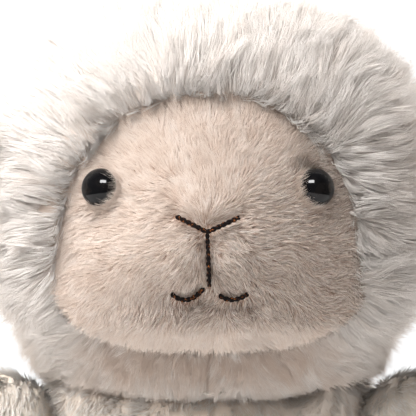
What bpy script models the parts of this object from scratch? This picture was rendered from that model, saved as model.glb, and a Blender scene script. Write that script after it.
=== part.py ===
"""A seated plush sheep: a pile hood round a domed face, on a pear-shaped body with soft limbs.

The sheep sits on Z = 0 and looks along -Y. Its left and right are the viewer's, so left is -X.
Every cover is a closed shell that goes round its own stuffing, and each limb, ear and the tail
turns about the middle of a round root that lies in a socket of the piece that carries it.
"""

import math

import bmesh
import bpy
import numpy as np
from mathutils import Matrix, Vector

# Clearances and overruns
GAP = 0.0003
OVERRUN = 0.04

# Head
HEAD_WIDTH = 0.152
HEAD_DEPTH = 0.118
HEAD_HEIGHT = 0.133
HEAD_ROUNDNESS_SHARE = 2.4
HOOD_WALL = 0.015
NECK_CUT = 0.006

# Face: its outline seen from the front, and the dome of the muzzle
FACE_HALF_WIDTH = 0.048
FACE_BROW = 0.050
FACE_CHIN = 0.0285
FACE_BROW_SHARE = 2.1
FACE_CHIN_SHARE = 2.8
FACE_DROP = 0.018
FACE_WALL = 0.004
MUZZLE_PROUD = 0.0025
MUZZLE_DEPTH = 0.042
MUZZLE_ROUND_SHARE = 0.88
BROW_LEAN = 0.006
CHEEK_PUFF = 0.0016
CHEEK_SPREAD = 0.017
CHEEK_REACH = 0.011
CHEEK_DROP = 0.032

# Eyes, with their stalks and washers
EYE_RADIUS = 0.006
EYE_RISE = 0.0046
EYE_RIM = 0.0008
EYE_SPREAD = 0.0333
EYE_LIFT = 0.0027
EYE_SINK = 0.0012
STALK_RADIUS = 0.0016
STALK_LENGTH = 0.012
WASHER_RADIUS = 0.0062
WASHER_THICKNESS = 0.0012
WASHER_SEAT = 0.0047

# Embroidery
THREAD_RADIUS = 0.0007
NOSE_HALF_WIDTH = 0.0096
NOSE_TOP_DROP = 0.0063
NOSE_BASE_DROP = 0.0109
PHILTRUM_START_DROP = 0.0123
PHILTRUM_END_DROP = 0.0276
MOUTH_INNER = 0.0019
MOUTH_INNER_DROP = 0.0289
MOUTH_LOW = 0.0067
MOUTH_LOW_DROP = 0.0316
MOUTH_OUTER = 0.0117
MOUTH_OUTER_DROP = 0.0297

# Ears
EAR_LENGTH = 0.052
EAR_HALF_WIDTH = 0.016
EAR_BACK = 0.0050
EAR_LINING = 0.0035
EAR_ROOT_RADIUS = 0.010
EAR_START_SHARE = 0.5
EAR_ROOT_LIFT = 0.0045
EAR_SETBACK = 0.031
EAR_HEIGHT = 0.0195
EAR_AIM_SHARE = (0.85, -0.30, -0.43)
EAR_TWIST = math.radians(25)

# Body
BODY_WIDTH = 0.124
BODY_DEPTH = 0.100
BODY_HEIGHT = 0.121
BODY_WALL = 0.007
SEAT_CUT = 0.0005
NECK_HOLE_RADIUS = 0.019
PELLET_HALF_WIDTH = 0.036
PELLET_HALF_DEPTH = 0.028
PELLET_HALF_HEIGHT = 0.011
NECK_THREAD_RADIUS = 0.0006

# Arms
SHOULDER_DROP = 0.0163
SHOULDER_FORWARD = 0.006
ARM_ROOT_RADIUS = 0.022
ARM_ROOT_LIFT = 0.0155
ARM_WAIST_RADIUS = 0.0172
ARM_END_RADIUS = 0.0215
ARM_LENGTH = 0.086
ARM_AIM_SHARE = (0.50, -0.33, -0.80)
LIMB_WALL = 0.006
LIMB_MOUTH_RADIUS = 0.010

# Legs
HIP_SPREAD = 0.038
LEG_ROOT_RADIUS = 0.022
LEG_ROOT_LIFT = 0.0095
LEG_WAIST_RADIUS = 0.0188
LEG_END_RADIUS = 0.0220
FOOT_RISE = 0.006
LEG_LENGTH = 0.084
LEG_AIM_SHARE = (0.28, -0.96, 0.0)

# Tail
TAIL_HEIGHT = 0.040
TAIL_ROOT_RADIUS = 0.009
TAIL_ROOT_LIFT = 0.0050
TAIL_LENGTH = 0.032
TAIL_WAIST_RADIUS = 0.0078
TAIL_END_RADIUS = 0.0095
TAIL_AIM_SHARE = (0.0, 0.86, -0.50)

# The body's outline, as shares of its height, half width and half depth
BODY_HEIGHT_SHARES = (-0.004, 0.03, 0.10, 0.22, 0.38, 0.55, 0.70, 0.82, 0.90, 0.945, 0.974, 1.0)
BODY_WIDTH_SHARES = (0.66, 0.80, 0.93, 1.00, 0.99, 0.95, 0.91, 0.86, 0.79, 0.68, 0.48, 0.44)
BODY_DEPTH_SHARES = (0.66, 0.80, 0.94, 1.01, 1.00, 0.95, 0.89, 0.82, 0.74, 0.66, 0.57, 0.54)

# Where an ear widens, as shares of its length and half width
EAR_LENGTH_SHARES = (0.0, 0.16, 0.34, 0.55, 0.76, 0.91, 1.0)
EAR_WIDTH_SHARES = (0.50, 0.52, 0.80, 1.00, 0.86, 0.52, 0.0)

NECK_HEIGHT = BODY_HEIGHT + GAP
HEAD_CENTRE = Vector((0, 0, NECK_HEIGHT + HEAD_HEIGHT / 2 - NECK_CUT))
HEAD_HALF = Vector((HEAD_WIDTH / 2, HEAD_DEPTH / 2, HEAD_HEIGHT / 2))
FACE_HEIGHT = HEAD_CENTRE.z - FACE_DROP
MUZZLE_FRONT = HEAD_DEPTH / 2 + MUZZLE_PROUD
EAR_FORWARD = HEAD_DEPTH / 2 - EAR_SETBACK
SHOULDER_HEIGHT = NECK_HEIGHT - SHOULDER_DROP

LONG_PILE = ((0.87, 0.84, 0.80), 0.95, 0.0)
PEACH_PILE = ((0.82, 0.67, 0.58), 0.9, 0.0)
CREAM_PILE = ((0.85, 0.78, 0.70), 0.9, 0.0)
FIBRE = ((0.92, 0.92, 0.90), 0.95, 0.0)
THREAD = ((0.05, 0.025, 0.015), 0.6, 0.0)
EYE_BLACK = ((0.01, 0.01, 0.012), 0.08, 0.0)
WASHER_WHITE = ((0.75, 0.75, 0.73), 0.4, 0.0)
PELLET_CLOTH = ((0.65, 0.62, 0.56), 0.85, 0.0)


def clear_scene():
    """Remove every object of the scene."""
    for obj in list(bpy.data.objects):
        bpy.data.objects.remove(obj, do_unlink=True)


def make_material(name, finish):
    """Return a material with a colour, a roughness and a metallic value."""
    colour, roughness, metallic = finish
    material = bpy.data.materials.new(name)
    material.use_nodes = True
    shader = material.node_tree.nodes["Principled BSDF"]
    shader.inputs["Base Color"].default_value = (*colour, 1)
    shader.inputs["Roughness"].default_value = roughness
    shader.inputs["Metallic"].default_value = metallic
    return material


def add_object(name, mesh, finish=None, matrix=None):
    """Put a mesh into the scene, as a piece with a finish or as a hidden cutter without one."""
    obj = bpy.data.objects.new(name, mesh)
    bpy.context.collection.objects.link(obj)
    if matrix is not None:
        obj.matrix_world = matrix
    if finish is None:
        obj.hide_render = True
        obj.display_type = "WIRE"
    else:
        mesh.materials.append(make_material(name, finish))
    return obj


def ring_mesh(name, rings, start=None, end=None):
    """Return a closed mesh through rings of points, each end drawn to a point or filled flat."""
    rings = np.asarray(rings, dtype=float)
    count, around = rings.shape[:2]
    points = rings.reshape(-1, 3)
    faces = []
    for row in range(count - 1):
        for i in range(around):
            j = (i + 1) % around
            low = row * around
            high = low + around
            faces.append((low + i, low + j, high + j, high + i))
    for tip, row in ((start, 0), (end, count - 1)):
        first = row * around
        if tip is None:
            faces.append(tuple(range(first, first + around)))
            continue
        points = np.vstack([points, np.asarray(tip, dtype=float)])
        last = len(points) - 1
        faces += [(first + i, first + (i + 1) % around, last) for i in range(around)]
    mesh = bpy.data.meshes.new(name)
    mesh.from_pydata(points.tolist(), [], faces)
    work = bmesh.new()
    work.from_mesh(mesh)
    bmesh.ops.recalc_face_normals(work, faces=work.faces)
    work.to_mesh(mesh)
    work.free()
    mesh.shade_smooth()
    mesh.set_sharp_from_angle(angle=math.radians(50))
    return mesh


def turned_mesh(name, profile, around):
    """Return a closed mesh turned about Z, from (radius, height) pairs between two points on Z."""
    turn = np.linspace(0, 2 * math.pi, around, endpoint=False)
    rings = [
        np.stack([r * np.cos(turn), r * np.sin(turn), np.full(around, z)], axis=1)
        for r, z in profile[1:-1]
    ]
    return ring_mesh(name, rings, (0, 0, profile[0][1]), (0, 0, profile[-1][1]))


def cut(obj, cutter, name):
    """Take a cutter away from a piece."""
    modifier = obj.modifiers.new(name, "BOOLEAN")
    modifier.operation = "DIFFERENCE"
    modifier.object = cutter
    return modifier


def egg_rings(centre, half, power, rows, around):
    """Return the rings and the two poles of a superellipsoid with its poles on Z."""
    rise = np.linspace(-math.pi / 2, math.pi / 2, rows + 1)[1:-1, None]
    turn = np.linspace(0, 2 * math.pi, around, endpoint=False)[None, :]
    unit = np.stack(
        np.broadcast_arrays(np.cos(rise) * np.cos(turn), np.cos(rise) * np.sin(turn), np.sin(rise)),
        axis=-1,
    )
    reach = (np.abs(unit) ** power).sum(axis=-1, keepdims=True) ** (-1 / power)
    rings = np.asarray(centre) + unit * reach * np.asarray(half)
    top = np.asarray(centre) + np.array([0, 0, half[2]])
    bottom = np.asarray(centre) - np.array([0, 0, half[2]])
    return rings, bottom, top


def egg(name, centre, half, rows, around, finish=None, power=2.0):
    """Add a superellipsoid; a power of 2 gives an ellipsoid."""
    rings, bottom, top = egg_rings(centre, half, power, rows, around)
    return add_object(name, ring_mesh(name, rings, bottom, top), finish)


def box(name, low, high):
    """Add a cutter box between two corners."""
    work = bmesh.new()
    bmesh.ops.create_cube(work, size=1)
    mesh = bpy.data.meshes.new(name)
    work.to_mesh(mesh)
    work.free()
    low, high = Vector(low), Vector(high)
    size = high - low
    mesh.transform(Matrix.Translation((low + high) / 2) @ Matrix.Diagonal((*size, 1)))
    return add_object(name, mesh)


def head_surface(forward, height):
    """Return the hood's half width at a distance forward and a height over the head's centre."""
    power = HEAD_ROUNDNESS_SHARE
    rest = 1 - abs(forward / HEAD_HALF.y) ** power - abs(height / HEAD_HALF.z) ** power
    return HEAD_HALF.x * rest ** (1 / power)


def head_normal(point):
    """Return the hood's outward direction at a point of its surface."""
    offset = point - HEAD_CENTRE
    power = HEAD_ROUNDNESS_SHARE
    slope = [
        math.copysign(abs(offset[i] / HEAD_HALF[i]) ** (power - 1) / HEAD_HALF[i], offset[i])
        for i in range(3)
    ]
    return Vector(slope).normalized()


def face_outline(turn, grow=0.0):
    """Return x and z of the face's outline: a superellipse, fuller below its widest level."""
    c, s = np.cos(turn), np.sin(turn)
    power = np.where(s >= 0, FACE_BROW_SHARE, FACE_CHIN_SHARE)
    reach = (np.abs(c) ** power + np.abs(s) ** power) ** (-1 / power)
    tall = np.where(s >= 0, FACE_BROW, FACE_CHIN) + grow
    return (FACE_HALF_WIDTH + grow) * c * reach, FACE_HEIGHT + tall * s * reach


def face_front(x, z):
    """Return y of the face: a dome with two puffed cheeks beside the middle line."""
    level = z - FACE_HEIGHT
    power = np.where(level >= 0, FACE_BROW_SHARE, FACE_CHIN_SHARE)
    tall = np.where(level >= 0, FACE_BROW, FACE_CHIN)
    reach = (np.abs(x / FACE_HALF_WIDTH) ** power + np.abs(level / tall) ** power) ** (1 / power)
    dome = MUZZLE_DEPTH * np.sqrt(1 - (MUZZLE_ROUND_SHARE * reach) ** 2)
    lean = BROW_LEAN * (np.maximum(level, 0) / FACE_BROW) ** 2
    drop = z - (HEAD_CENTRE.z - CHEEK_DROP)
    apart = np.abs(x) - CHEEK_SPREAD
    puff = CHEEK_PUFF * np.exp(-(apart**2 + drop**2) / CHEEK_REACH**2)
    return -(MUZZLE_FRONT - MUZZLE_DEPTH) - dome - lean - puff


def face_frame(x, z):
    """Return a point of the face and the direction that it looks in."""
    step = THREAD_RADIUS
    here = float(face_front(x, z))
    across = (float(face_front(x + step, z)) - here) / step
    up = (float(face_front(x, z + step)) - here) / step
    return Vector((x, here, z)), Vector((across, -1, up)).normalized()


def face_solid(name, front_offset, back, rows, around, finish=None):
    """Add a closed piece that follows the face, from an offset behind it to its back.

    The back is a second offset when it is a number, and a flat plane when it is a Vector.
    """
    turn = np.linspace(0, 2 * math.pi, around, endpoint=False)
    edge_x, edge_z = face_outline(turn)
    middle_z = FACE_HEIGHT
    front, rear = [], []
    for share in np.linspace(1, 0, rows + 1)[:-1]:
        x = edge_x * share
        z = middle_z + (edge_z - middle_z) * share
        y = face_front(x, z)
        front.append(np.stack([x, y + front_offset, z], axis=1))
        behind = np.full(around, back.y) if isinstance(back, Vector) else y + back
        rear.append(np.stack([x, behind, z], axis=1))
    tip = np.array([0, float(face_front(0.0, middle_z)), middle_z])
    far = back.y if isinstance(back, Vector) else tip[1] + back
    rings = rear[::-1] + front if not isinstance(back, Vector) else [rear[0]] + front
    start = np.array([0, far, middle_z])
    end = tip + np.array([0, front_offset, 0])
    return add_object(name, ring_mesh(name, rings, start, end), finish)


def body_sections(heights):
    """Return the body's half width and half depth at heights given as shares of its own."""
    wide = np.interp(heights, BODY_HEIGHT_SHARES, BODY_WIDTH_SHARES)
    deep = np.interp(heights, BODY_HEIGHT_SHARES, BODY_DEPTH_SHARES)
    return wide * BODY_WIDTH / 2, deep * BODY_DEPTH / 2


def body_solid(name, inset, rows, around, finish=None):
    """Add the body's pear shape, drawn in all over by an inset."""
    heights = np.array(BODY_HEIGHT_SHARES)
    fine = np.interp(np.linspace(0, 1, rows), np.linspace(0, 1, len(heights)), heights)
    wide, deep = body_sections(fine)
    turn = np.linspace(0, 2 * math.pi, around, endpoint=False)
    low, high = fine[0] * BODY_HEIGHT + inset, BODY_HEIGHT - inset
    level = low + (high - low) * (fine - fine[0]) / (fine[-1] - fine[0])
    rings = [
        np.stack([(w - inset) * np.cos(turn), (d - inset) * np.sin(turn), np.full(around, z)], axis=1)
        for w, d, z in zip(wide, deep, level)
    ]
    return add_object(name, ring_mesh(name, rings), finish)


def aim_frame(root, aim, up):
    """Return the placing whose local Z runs along aim and whose local X lies nearest to up."""
    z = Vector(aim).normalized()
    y = z.cross(Vector(up)).normalized()
    x = y.cross(z)
    turn = Matrix((x, y, z)).transposed().to_4x4()
    return Matrix.Translation(root) @ turn


def limb_profile(root_radius, waist_radius, end_radius, length, steps):
    """Return (radius, distance) pairs of a limb: round root, waist, swelling end, round tip."""
    meet = math.asin(math.sqrt(1 - (waist_radius / root_radius) ** 2))
    profile = []
    for turn in np.linspace(-math.pi / 2, meet, steps):
        profile.append((root_radius * math.cos(turn), root_radius * math.sin(turn)))
    start = profile[-1][1]
    end = length - end_radius
    for share in np.linspace(0, 1, steps)[1:]:
        ease = share * share * (3 - 2 * share)
        profile.append((waist_radius + (end_radius - waist_radius) * ease, start + (end - start) * share))
    for turn in np.linspace(0, math.pi / 2, steps)[1:]:
        profile.append((end_radius * math.cos(turn), end + end_radius * math.sin(turn)))
    return profile


def limb_mesh(name, profile, around, rise=0.0):
    """Return a limb along local Z, whose end stands up towards local X by twice a rise."""
    turn = np.linspace(0, 2 * math.pi, around, endpoint=False)
    length = profile[-1][1]
    widest = max(r for r, z in profile)
    rings = []
    for r, z in profile[1:-1]:
        lift = rise * max(0.0, z / length) ** 2 * r / widest
        x = r * np.cos(turn) + lift * (1 + np.cos(turn))
        rings.append(np.stack([x, r * np.sin(turn), np.full(around, z)], axis=1))
    return ring_mesh(name, rings, (0, 0, profile[0][1]), (0, 0, length))


def make_limb(name, root, aim, up, radii, length, rise, steps, around, finish):
    """Add a limb's cover, its stuffing and the socket cutter that its root turns in."""
    root_radius, waist_radius, end_radius = radii
    place = aim_frame(root, aim, up)
    outer = limb_profile(root_radius, waist_radius, end_radius, length, steps)
    cover = add_object(f"{name}_cover", limb_mesh(name, outer, around, rise), finish, place)
    wall = LIMB_WALL
    hollow = limb_profile(
        root_radius - wall, waist_radius - wall, end_radius - wall, length - wall, steps - 1
    )
    cavity = add_object(f"{name}_cavity", limb_mesh(f"{name}_cavity", hollow, around - 4), None, place)
    cut(cover, cavity, "cavity")
    inner = wall + GAP
    core = limb_profile(
        root_radius - inner, waist_radius - inner, end_radius - inner, length - inner, steps - 1
    )
    add_object(f"{name}_stuffing", limb_mesh(f"{name}_stuffing", core, around - 4), FIBRE, place)
    return cover


def make_mouth(cover, name, root, outward):
    """Open a limb's cover where it faces the body, as the seam that it is stuffed through."""
    place = aim_frame(root, -Vector(outward), (0, 0, 1))
    hole = turned_mesh(
        name,
        [(0, 0), (LIMB_MOUTH_RADIUS, 0), (LIMB_MOUTH_RADIUS, OVERRUN), (0, OVERRUN)],
        12,
    )
    cut(cover, add_object(name, hole, None, place), "mouth")


def make_socket(name, centre, radius, targets):
    """Cut a round socket whose flats lie a gap outside the root that turns in it."""
    rows, around = 10, 18
    flats = math.cos(math.pi / around) * math.cos(math.pi / (2 * rows))
    socket = egg(name, centre, [(radius + GAP) / flats] * 3, rows, around)
    for target in targets:
        cut(target, socket, name)


def thread_curve(name, places):
    """Add a thread that lies on the face through places given as x and drop from the eyes' level."""
    points = []
    for x, drop in places:
        seat, look = face_frame(x, HEAD_CENTRE.z - drop)
        points.append(seat + look * (THREAD_RADIUS + GAP))
    curve = bpy.data.curves.new(name, "CURVE")
    curve.dimensions = "3D"
    curve.bevel_depth = THREAD_RADIUS
    curve.bevel_resolution = 1
    curve.use_fill_caps = True
    spline = curve.splines.new("POLY")
    spline.points.add(len(points) - 1)
    for target, point in zip(spline.points, points):
        target.co = (*point, 1)
    obj = bpy.data.objects.new(name, curve)
    bpy.context.collection.objects.link(obj)
    curve.materials.append(make_material(name, THREAD))
    return obj


def between(first, second, count):
    """Return places evenly spread from one to another."""
    return [
        tuple(a + (b - a) * i / (count - 1) for a, b in zip(first, second)) for i in range(count)
    ]


def make_embroidery():
    """Add the nose's open V, the line below it and the two curves of the mouth."""
    low = (0.0, NOSE_BASE_DROP)
    left, right = (-NOSE_HALF_WIDTH, NOSE_TOP_DROP), (NOSE_HALF_WIDTH, NOSE_TOP_DROP)
    thread_curve("nose_stitch", between(left, low, 5) + between(low, right, 5)[1:])
    thread_curve("philtrum_stitch", between((0.0, PHILTRUM_START_DROP), (0.0, PHILTRUM_END_DROP), 7))
    for side, name in ((-1, "mouth_stitch_left"), (1, "mouth_stitch_right")):
        places = []
        for share in np.linspace(0, 1, 7):
            inner, middle, outer = (1 - share) ** 2, 2 * share * (1 - share), share**2
            x = inner * MOUTH_INNER + middle * MOUTH_LOW + outer * MOUTH_OUTER
            low_drop = 2 * MOUTH_LOW_DROP - (MOUTH_INNER_DROP + MOUTH_OUTER_DROP) / 2
            drop = inner * MOUTH_INNER_DROP + middle * low_drop + outer * MOUTH_OUTER_DROP
            places.append((side * x, drop))
        thread_curve(name, places)


def make_eye(side, name):
    """Add an eye with its stalk, its washer, and the cutter that makes room for both."""
    seat, look = face_frame(side * EYE_SPREAD, HEAD_CENTRE.z + EYE_LIFT)
    place = aim_frame(seat, look, (0, 0, 1))
    back = GAP - EYE_SINK
    profile = [(0, -STALK_LENGTH), (STALK_RADIUS, -STALK_LENGTH), (STALK_RADIUS, back)]
    profile.append((EYE_RADIUS - EYE_RIM, back))
    for turn in np.linspace(0, math.pi / 2, 6):
        profile.append((EYE_RADIUS * math.cos(turn), back + EYE_RIM + EYE_RISE * math.sin(turn)))
    add_object(f"eye_{name}", turned_mesh(f"eye_{name}", profile, 16), EYE_BLACK, place)
    hole = STALK_RADIUS + GAP
    low, high = -WASHER_SEAT - WASHER_THICKNESS, -WASHER_SEAT
    turn = np.linspace(0, 2 * math.pi, 16, endpoint=False)
    loop = [(hole, low), (WASHER_RADIUS, low), (WASHER_RADIUS, high), (hole, high), (hole, low)]
    rings = [np.stack([r * np.cos(turn), r * np.sin(turn), np.full(16, z)], axis=1) for r, z in loop]
    washer = ring_mesh(f"eye_washer_{name}", rings)
    close_ring(washer)
    add_object(f"eye_washer_{name}", washer, WASHER_WHITE, place)
    recess = EYE_RADIUS + GAP
    pocket = WASHER_RADIUS + GAP
    steps = [
        (0, -STALK_LENGTH - GAP),
        (pocket, -STALK_LENGTH - GAP),
        (pocket, high + GAP),
        (hole, high + GAP),
        (hole, -EYE_SINK),
        (recess, -EYE_SINK),
        (recess, OVERRUN),
        (0, OVERRUN),
    ]
    return add_object(f"eye_room_{name}", turned_mesh(f"eye_room_{name}", steps, 16), None, place)


def close_ring(mesh):
    """Join a ring section's first and last loop, and drop the two caps between them."""
    work = bmesh.new()
    work.from_mesh(mesh)
    caps = [face for face in work.faces if len(face.verts) > 4]
    bmesh.ops.delete(work, geom=caps, context="FACES_ONLY")
    bmesh.ops.remove_doubles(work, verts=work.verts, dist=GAP / 10)
    bmesh.ops.recalc_face_normals(work, faces=work.faces)
    work.to_mesh(mesh)
    work.free()


def make_head():
    """Add the hood, the face, the stuffing behind them and what is set into the face."""
    power = HEAD_ROUNDNESS_SHARE
    hood = egg("hood", HEAD_CENTRE, HEAD_HALF, 18, 32, LONG_PILE, power)
    hollow = HEAD_HALF - Vector([HOOD_WALL] * 3)
    cavity = egg("hood_cavity", HEAD_CENTRE, hollow, 12, 22, None, power)
    cut(hood, cavity, "cavity")
    flat = box(
        "neck_flat",
        (-HEAD_WIDTH, -HEAD_WIDTH, -OVERRUN),
        (HEAD_WIDTH, HEAD_WIDTH, NECK_HEIGHT),
    )
    cut(hood, flat, "neck_flat")
    turn = np.linspace(0, 2 * math.pi, 24, endpoint=False)
    neck_hole = ring_mesh(
        "neck_hole",
        [
            np.stack([NECK_HOLE_RADIUS * np.cos(turn), NECK_HOLE_RADIUS * np.sin(turn),
                      np.full(24, z)], axis=1)
            for z in (NECK_HEIGHT - OVERRUN, HEAD_CENTRE.z)
        ],
    )
    neck_cutter = add_object("neck_hole", neck_hole)
    cut(hood, neck_cutter, "neck_hole")
    opening_turn = np.linspace(0, 2 * math.pi, 32, endpoint=False)
    x, z = face_outline(opening_turn, GAP)
    opening = ring_mesh(
        "face_opening",
        [np.stack([x, np.full(32, y), z], axis=1) for y in (-HEAD_HALF.y - OVERRUN, -HOOD_WALL)],
    )
    cut(hood, add_object("face_opening", opening), "face_opening")
    panel = face_solid("face_panel", 0.0, FACE_WALL, 6, 32, PEACH_PILE)
    core_half = hollow - Vector([GAP] * 3)
    stuffing = egg("head_stuffing", HEAD_CENTRE, core_half, 12, 22, FIBRE, power)
    plug = face_solid("face_plug", FACE_WALL + GAP, Vector((0, -HOOD_WALL, 0)), 6, 32)
    join = stuffing.modifiers.new("face_plug", "BOOLEAN")
    join.operation = "UNION"
    join.object = plug
    for side, name in ((-1, "left"), (1, "right")):
        room = make_eye(side, name)
        cut(panel, room, f"eye_{name}")
        cut(stuffing, room, f"eye_{name}")
    make_embroidery()
    return hood


def ear_leaf(name, near, far, finish, place):
    """Add one leaf of an ear, between two distances from the ear's middle plane along local Y."""
    length = np.array(EAR_LENGTH_SHARES)
    rows = np.linspace(0, 1, 9)
    wide = np.interp(rows, length, EAR_WIDTH_SHARES) * EAR_HALF_WIDTH
    start = -EAR_ROOT_RADIUS * EAR_START_SHARE
    around = 12
    turn = np.linspace(0, 2 * math.pi, around, endpoint=False)
    rings = []
    for row, w in zip(rows[:-1], wide):
        z = start + (EAR_LENGTH - start) * row
        thin = np.sqrt(np.clip(1 - row**4, 0, 1))
        middle, half = (near + far) / 2, abs(far - near) / 2 * thin
        rings.append(np.stack([w * np.cos(turn), middle + half * np.sin(turn), np.full(around, z)], axis=1))
    tip = (0, (near + far) / 2, EAR_LENGTH)
    return add_object(name, ring_mesh(name, rings, None, tip), finish, place)


def make_ears(hood):
    """Add both ears, each a back leaf and a lining that turn in a socket at the head's side."""
    for side, name in ((-1, "left"), (1, "right")):
        reach = head_surface(EAR_FORWARD, EAR_HEIGHT)
        seat = HEAD_CENTRE + Vector((side * reach, -EAR_FORWARD, EAR_HEIGHT))
        root = seat + head_normal(seat) * EAR_ROOT_LIFT
        aim = Vector((side * EAR_AIM_SHARE[0], EAR_AIM_SHARE[1], EAR_AIM_SHARE[2]))
        up = Vector((0, -math.sin(EAR_TWIST), math.cos(EAR_TWIST)))
        place = aim_frame(root, aim, up)
        ear_leaf(f"ear_{name}_back", -side * GAP / 2, -side * EAR_BACK, CREAM_PILE, place)
        ear_leaf(f"ear_{name}_lining", side * GAP / 2, side * EAR_LINING, PEACH_PILE, place)
        make_socket(f"ear_socket_{name}", root, EAR_ROOT_RADIUS, [hood])


def make_body():
    """Add the body's cover and stuffing, the pellet bag and the thread that closes the neck."""
    cover = body_solid("body_cover", 0.0, 14, 28, LONG_PILE)
    cavity = body_solid("body_cavity", BODY_WALL, 10, 20)
    cut(cover, cavity, "cavity")
    ground = box("ground", (-HEAD_WIDTH, -HEAD_WIDTH, -OVERRUN), (HEAD_WIDTH, HEAD_WIDTH, 0))
    cut(cover, ground, "seat")
    mouth = turned_mesh(
        "body_mouth",
        [
            (0, BODY_HEIGHT - BODY_WALL - OVERRUN / 4),
            (NECK_HOLE_RADIUS, BODY_HEIGHT - BODY_WALL - OVERRUN / 4),
            (NECK_HOLE_RADIUS, BODY_HEIGHT + OVERRUN),
            (0, BODY_HEIGHT + OVERRUN),
        ],
        20,
    )
    cut(cover, add_object("body_mouth", mouth), "mouth")
    stuffing = body_solid("body_stuffing", BODY_WALL + GAP, 10, 20, FIBRE)
    bag_half = Vector((PELLET_HALF_WIDTH, PELLET_HALF_DEPTH, PELLET_HALF_HEIGHT))
    floor = BODY_HEIGHT_SHARES[0] * BODY_HEIGHT + BODY_WALL + GAP
    bag_centre = (0, 0, floor + PELLET_HALF_HEIGHT)
    egg("pellet_bag", bag_centre, bag_half, 8, 16, PELLET_CLOTH)
    room = egg("pellet_room", bag_centre, bag_half + Vector([GAP] * 3), 8, 16)
    cut(stuffing, room, "pellet_room")
    return cover, stuffing


def mirrored(share, side):
    """Return a direction with its X turned to one side."""
    return Vector((side * share[0], share[1], share[2]))


def make_arms(cover, stuffing):
    """Add both arms, each with its root in a socket at the shoulder."""
    wide = float(body_sections(SHOULDER_HEIGHT / BODY_HEIGHT)[0])
    for side, name in ((-1, "left"), (1, "right")):
        root = Vector((side * (wide + ARM_ROOT_LIFT), -SHOULDER_FORWARD, SHOULDER_HEIGHT))
        radii = (ARM_ROOT_RADIUS, ARM_WAIST_RADIUS, ARM_END_RADIUS)
        arm = make_limb(
            f"arm_{name}", root, mirrored(ARM_AIM_SHARE, side), (0, 1, 0), radii, ARM_LENGTH, 0.0,
            5, 14, CREAM_PILE,
        )
        make_mouth(arm, f"arm_mouth_{name}", root, (side, 0, 0))
        make_socket(f"arm_socket_{name}", root, ARM_ROOT_RADIUS, [cover, stuffing])


def make_legs(cover, stuffing):
    """Add both legs, lying forward on the table, each with its root in a socket at the hip."""
    height = LEG_ROOT_RADIUS - SEAT_CUT
    wide, deep = (float(value) for value in body_sections(height / BODY_HEIGHT))
    forward = deep * math.sqrt(1 - (HIP_SPREAD / wide) ** 2)
    ground = bpy.data.objects["ground"]
    for side, name in ((-1, "left"), (1, "right")):
        root = Vector((side * HIP_SPREAD, -forward - LEG_ROOT_LIFT, height))
        radii = (LEG_ROOT_RADIUS, LEG_WAIST_RADIUS, LEG_END_RADIUS)
        aim = mirrored(LEG_AIM_SHARE, side)
        leg = make_limb(
            f"leg_{name}", root, aim, (0, 0, 1), radii, LEG_LENGTH, FOOT_RISE, 5, 14, CREAM_PILE
        )
        cut(leg, ground, "sole")
        make_mouth(leg, f"leg_mouth_{name}", root, (0, -1, 0))
        make_socket(f"leg_socket_{name}", root, LEG_ROOT_RADIUS, [cover, stuffing])


def make_tail(cover, stuffing):
    """Add the short tail at the back."""
    deep = float(body_sections(TAIL_HEIGHT / BODY_HEIGHT)[1])
    root = Vector((0, deep + TAIL_ROOT_LIFT, TAIL_HEIGHT))
    profile = limb_profile(TAIL_ROOT_RADIUS, TAIL_WAIST_RADIUS, TAIL_END_RADIUS, TAIL_LENGTH, 4)
    place = aim_frame(root, TAIL_AIM_SHARE, (0, 0, 1))
    add_object("tail", limb_mesh("tail", profile, 12), LONG_PILE, place)
    make_socket("tail_socket", root, TAIL_ROOT_RADIUS, [cover, stuffing])


def make_neck_stitch():
    """Add the ring of thread round the neck, between the body's top and the hood."""
    turn = np.linspace(0, 2 * math.pi, 24, endpoint=False)
    level = BODY_HEIGHT - NECK_THREAD_RADIUS - GAP
    wide, deep = (float(value) for value in body_sections((level - NECK_THREAD_RADIUS) / BODY_HEIGHT))
    out = NECK_THREAD_RADIUS + GAP
    rings = []
    for angle in np.linspace(0, 2 * math.pi, 7):
        r = NECK_THREAD_RADIUS * math.cos(angle)
        z = level + NECK_THREAD_RADIUS * math.sin(angle)
        rings.append(
            np.stack([(wide + out + r) * np.cos(turn), (deep + out + r) * np.sin(turn),
                      np.full(24, z)], axis=1)
        )
    mesh = ring_mesh("neck_stitch", rings)
    close_ring(mesh)
    add_object("neck_stitch", mesh, FIBRE)


def main():
    """Build the sheep."""
    clear_scene()
    hood = make_head()
    make_ears(hood)
    cover, stuffing = make_body()
    make_arms(cover, stuffing)
    make_legs(cover, stuffing)
    make_tail(cover, stuffing)
    make_neck_stitch()
    bpy.context.view_layer.update()


main()
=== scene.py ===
"""Looks of a seated plush sheep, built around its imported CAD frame.

Every fabric piece is a closed skin, a surface on a grid, with a pile of fine tapered strands grown
from it. The sheep looks along -Y, and left and right are the viewer's.
"""

import logging
import math
from collections.abc import Callable
from dataclasses import dataclass, field
from enum import Enum

import bpy
import numpy as np
from bpy.types import Material, Node, NodeSocket, NodeTree, Object
from mathutils import Matrix, Vector


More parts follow.
